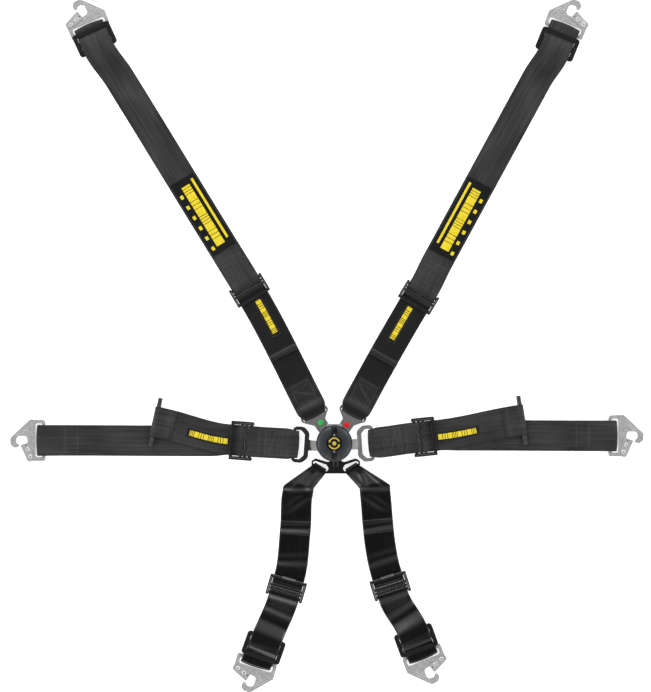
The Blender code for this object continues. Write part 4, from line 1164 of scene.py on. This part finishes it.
def adjuster_trim(belt, body):
    """Folded side rails, the lock bar's second rail, and the bright worn strips and pull tab."""
    x, y, heading = adjuster_place(belt)
    kind = belt.split("_")[0]
    matrix = place(x, y, heading + (180.0 if kind == "lap" else 0.0))
    half = adjuster_length(belt) / 2
    outer, wide = RAIL_OUTER[kind], WORN_WIDTH[kind]
    from_end = half - END_BAR_INSET - 2.0 - END_LOOP - WEB_THICK / 2
    from_lock = LOCK_LOOP + WEB_THICK / 2
    shell, bright = bmesh.new(), bmesh.new()
    for side in (-1.0, 1.0):
        low, high = sorted((side * RAIL_INNER, side * outer))
        slab(shell, matrix, (-half - 0.4, low, half + 0.4, high), 1.9, 7.2, 9.9, 0.5)
        middle = side * (RAIL_INNER + outer) / 2 - side * 0.3
        lightening = (-half + 3.0, middle - wide / 2, half - 3.0, middle + wide / 2)
        slab(bright, matrix, lightening, 0.3, 9.75, 9.98, 0.12)
    rail = matrix @ Matrix.Translation(Vector(((from_lock + from_end) / 2, 0.0, 6.1)) * MM) @ CROSSWAYS
    fluted_bar(shell, rail, (from_end - from_lock) / 2 - 0.04, 26.9, 48, 0.0)
    slab(shell, matrix, (-half - 0.2, -26.5, -half + 2.0, 26.5), 0.9, 8.2, 9.85, 0.4)
    if kind == "crotch":
        slab(bright, matrix, (-half - 1.6, -11.0, -half + 1.6, 11.0), 0.8, 8.9, 10.1, 0.3)
        slab(bright, matrix, (-half - 0.35, -25.0, -half + 0.45, 25.0), 0.3, 9.6, 9.95, 0.15)
    made(f"{belt}_adjuster_rails", shell, BLACK_STEEL, body, "black_steel")
    made(f"{belt}_adjuster_wear", bright, WORN_EDGE, body, "black_steel")


def rivets(belt):
    """Domed heads on the gate, and a flat dark disc of painted shade that stands for the small hole beside
    them.
    """
    matrix, side, body = place(*hook_place(belt)), gate_side(belt), f"{belt}_gate"
    dome = [(3.1, 0.0), (3.1, 0.35), (2.5, 0.75), (1.7, 1.05), (0.9, 1.2), (0.0, 1.22)]
    shell = bmesh.new()
    for u, v in ((13.0, 14.2), (8.8, 26.0)):
        lathe(shell, dome, matrix @ Matrix.Translation(Vector((u, side * v, 7.2)) * MM), 28)
    made(f"{belt}_rivets", shell, RIVET, body, "spring_steel")
    # A dark disc of painted shade stands for the hole.
    shell = bmesh.new()
    hole = matrix @ Matrix.Translation(Vector((15.2, side * 7.6, 7.24)) * MM)
    lathe(shell, [(1.0, 0.0), (0.9, 0.06), (0.0, 0.06)], hole, 20)
    made(f"{belt}_gate_hole_shade", shell, KNOB_DARK, body, "spring_steel")


def gate_side(belt):
    """The side, 1 or -1, of its own heading on which a hook's gate is riveted."""
    x, y, heading = hook_place(belt)
    off = centre(f"{belt}_hook_gate") - Vector((x, y, 0.0))
    return 1.0 if off.dot(unit(heading + 90.0)) > 0 else -1.0


def embossing(belt):
    """Two rows of plain raised dashes along the hook's slanting edge."""
    side = -gate_side(belt)
    matrix = place(*hook_place(belt))
    shell = bmesh.new()
    start, end = Vector((14.0, 26.0)), Vector((33.5, 8.5))
    along = (end - start).normalized()
    inward = Vector((along.y, -along.x))
    turn = math.degrees(math.atan2(along.y * side, along.x))
    for row, (offset, count, length) in enumerate(((1.2, 7, 1.5), (4.6, 5, 2.2))):
        for index in range(count):
            spot = start.lerp(end, (index + 0.5 + 0.2 * row) / (count + 0.4)) + inward * offset
            pill(shell, matrix @ place(spot.x, side * spot.y, turn, 6.05), length, 0.75, 0.28)
    made(f"{belt}_hook_embossing", shell, ZINC_EDGE, f"{belt}_hook", "zinc_plate")


def pill(shell, matrix, length, width, height, sides=6):
    """A low rounded bump."""
    rings = []
    for scale, z in ((1.0, 0.0), (0.9, height * 0.7), (0.55, height)):
        ring = []
        for end in (1, -1):
            for step in range(sides + 1):
                way = unit(-90.0 + 180.0 * step / sides) * width / 2 * scale
                ring.append((end * (length / 2 + way.x), end * way.y, z))
        rings.append(vertices(shell, ring, matrix))
    skin(shell, rings, ends=True)


def close_slots(mesh, fitting):
    """Brings the ends of a slide's slots close to the webbing's edges."""
    matrix = place(*fitting)
    inverse = matrix.inverted()
    for vertex in mesh.vertices:
        local = inverse @ vertex.co
        across, along = abs(local.y) / MM, abs(local.x) / MM
        if 24.5 < across < 26.8 and along < 13.2:
            local.y -= math.copysign(1.25 * MM, local.y)
            vertex.co = matrix @ local


def belt_hardware(belt):
    lap = belt.startswith("lap")
    body = f"{belt}_short_belt" if lap else f"{belt}_outer_belt"
    steel, slide, plate = [BLACK_STEEL, WORN_EDGE], f"{belt}_three_bar_slide", f"{belt}_hook_plate"
    refined(f"{belt}_adjuster_frame", f"{belt}_adjuster", body, "black_steel", steel, 0.4, 2)
    lock_bar(belt, body)
    adjuster_trim(belt, body)
    if not lap:
        item = refined(slide, f"{belt}_slide", body, "black_steel", [BLACK_STEEL], 0.8, 3)
        close_slots(item.data, fitting_place(slide, belt))
    refined(plate, f"{belt}_hook", f"{belt}_hook", "zinc_plate", [ZINC, ZINC_EDGE], 0.3, 2)
    spring = [SPRING, ZINC_EDGE]
    refined(f"{belt}_hook_gate", f"{belt}_gate_spring", f"{belt}_gate", "spring_steel", spring, 0.15, 2)
    rivets(belt)
    embossing(belt)


def disc_mark(name, body, slot, material, x, y, z, radius, sides, turn=0.0):
    shell = bmesh.new()
    profile = [(radius, 0.0), (radius - 0.1, 0.2), (radius - 0.6, 0.28), (0.0, 0.28)]
    lathe(shell, profile, place(x, y, turn, z), sides)
    made(name, shell, material, body, slot)


def badge():
    """A dark disc with a gold ring of two turning arrows round a small hexagon."""
    shell = bmesh.new()
    disc = [(0.0, 26.7), (11.6, 26.7), (11.8, 27.0), (11.8, 27.3), (11.5, 27.5), (0.0, 27.5)]
    lathe(shell, disc, ORIGIN, 64)
    # The disc takes the nearly black painted shade of the recess.
    made("badge_disc", shell, KNOB_DARK, "knob", "gold_badge", "buckle_badge")
    shell = bmesh.new()
    inner, outer, low, high = 7.2, 9.7, 27.45, 28.3
    steps, sweep = 22, 128.0
    section_points = ((inner, low), (inner + 0.25, high), (outer - 0.25, high), (outer, low))
    for start in (20.0, 200.0):
        rings = []
        for step in range(steps + 1):
            way = unit(start + sweep * step / steps)
            rings.append(vertices(shell, [(way.x * r, way.y * r, z) for r, z in section_points]))
        skin(shell, rings, ends=True)
        tip, base = unit(start + sweep + 26.0), unit(start + sweep + 1.0)
        prism(shell, [tip * (inner + outer) / 2, base * (inner - 1.2), base * (outer + 1.0)], low, high)
    prism(shell, circle(3.6, 6), low, high)
    made("badge_arrows", shell, GOLD, "knob", "gold_badge")


def prism(shell, outline, low, high):
    skin(shell, [vertices(shell, [(*point[:2], z) for point in outline]) for z in (low, high)], ends=True)


def buckle():
    refined("buckle_back_plate", "back_plate", "buckle", "housing_alloy", [ALLOY], 0.3)
    refined("buckle_housing", "housing", "buckle", "housing_alloy", [ALLOY], 0.5, 3)
    # The knob's rounded edges take the nearly black look, as painted shade.
    refined("buckle_knob", "knob_body", "knob", "knob_alloy", [KNOB, KNOB_DARK], 0.5, 3)
    badge()
    shell = bmesh.new()
    for side in (1, -1):
        prism(shell, [(-1.9, side * 12.6), (1.9, side * 12.6), (0.0, side * 15.8)], 27.4, 28.1)
    made("knob_pointers", shell, RIVET, "knob", "housing_alloy")
    for node, name, body, slot, look in (
            ("shoulder_tongue_left", "left_shoulder_tongue", "shoulder_left_tongue", "tongue_steel", TONGUE),
            ("shoulder_tongue_right", "right_shoulder_tongue", "shoulder_right_tongue", "tongue_steel", TONGUE),
            ("lap_tongue_right", "right_lap_ring", "lap_right_tongue", "tongue_steel", RING_STEEL),
            ("lap_connector_left", "left_lap_ring", "buckle", "black_steel", RING_BLACK),
            ("crotch_yoke", "yoke", "crotch_tongue", "black_steel", BLACK_STEEL)):
        refined(node, name, body, slot, [look], 0.6, 3)
    top = 9.98
    disc_mark("green_mark", "shoulder_left_tongue", "marker_green", GREEN, -22.2, 32.9, top, 4.6, 32)
    disc_mark("red_mark", "shoulder_right_tongue", "marker_red", RED, 20.3, 29.4, top, 5.6, 5, 54.0)
    shell = bmesh.new()
    for x in (-1.1, 5.4):
        prism(shell, [(x - 0.8, -38.2), (x + 0.8, -38.2), (x + 0.6, -30.6), (x - 0.6, -30.6)], 9.95, 10.25)
    made("yoke_ribs", shell, WORN_EDGE, "crotch_tongue", "black_steel")
    for node in ("buckle_spindle", "latch_pin_plate", "knob_return_spring"):
        item = frame["nodes"][node]
        item.data.materials.clear()
        item.data.materials.append(TONGUE if node != "knob_return_spring" else SPRING)


# ---------------------------------------------------------------- floor, lights and camera

VIEW_CENTRE_M = Vector((-0.0142, 0.1575, 0.0))
VIEW_HEIGHT_M = 1.128
LENS = 110.0


def floor():
    place_m = (0.0, 0.16, -0.0006)
    bpy.ops.mesh.primitive_grid_add(x_subdivisions=8, y_subdivisions=8, size=14.0, location=place_m)
    item = bpy.context.active_object
    item.name = "pale_floor"
    look = Look("pale_floor", 0.9)
    look.colour(look.ramp(look.noise(look.object, 3.0), (0.2, 0.93), (0.8, 0.95)))
    look.shader.inputs["Emission Color"].default_value = (1.0, 1.0, 1.0, 1.0)
    look.shader.inputs["Emission Strength"].default_value = 0.62
    item.data.materials.append(look.material)


def area_light(name, location, target, size, power):
    data = bpy.data.lights.new(name, "AREA")
    data.shape = "DISK"
    data.size = size
    data.energy = power
    item = bpy.data.objects.new(name, data)
    bpy.context.scene.collection.objects.link(item)
    item.location = location
    item.rotation_euler = (Vector(target) - Vector(location)).to_track_quat("-Z", "Y").to_euler()


def studio():
    bpy.context.scene.view_settings.view_transform = "Standard"
    world = bpy.data.worlds.new("studio")
    bpy.context.scene.world = world
    world.use_nodes = True
    nodes, links = world.node_tree.nodes, world.node_tree.links
    direction = nodes.new("ShaderNodeTexCoord")
    up = nodes.new("ShaderNodeSeparateXYZ")
    ramp = nodes.new("ShaderNodeValToRGB")
    links.new(direction.outputs["Generated"], up.inputs[0])
    links.new(up.outputs["Z"], ramp.inputs[0])
    links.new(ramp.outputs[0], nodes["Background"].inputs["Color"])
    for element, position, grey in zip(ramp.color_ramp.elements, (0.78, 0.975), (1.0, 0.06)):
        element.position = position
        element.color = (grey, grey, grey, 1.0)
    nodes["Background"].inputs["Strength"].default_value = 0.95
    for index, power in enumerate((26.0, 18.0, 12.0, 12.0, 18.0)):
        turn = math.radians(110.0 + 72.0 * index)
        spot = (2.6 * math.cos(turn), 0.16 + 2.6 * math.sin(turn), 1.7)
        area_light(f"softbox_{index}", spot, (0.0, 0.16, 0.0), 1.2, power)
    camera = bpy.data.cameras.new("camera")
    camera.lens = LENS
    item = bpy.data.objects.new("camera", camera)
    bpy.context.scene.collection.objects.link(item)
    distance = VIEW_HEIGHT_M * LENS / camera.sensor_width
    item.location = VIEW_CENTRE_M + Vector((0.0, 0.0, distance))
    bpy.context.scene.camera = item


floor()
studio()
for name in ("shoulder_left", "shoulder_right", "crotch_left", "crotch_right"):
    harness_belt(name)
    belt_hardware(name)
for name in ("lap_left", "lap_right"):
    lap_belt(name)
    belt_hardware(name)
buckle()
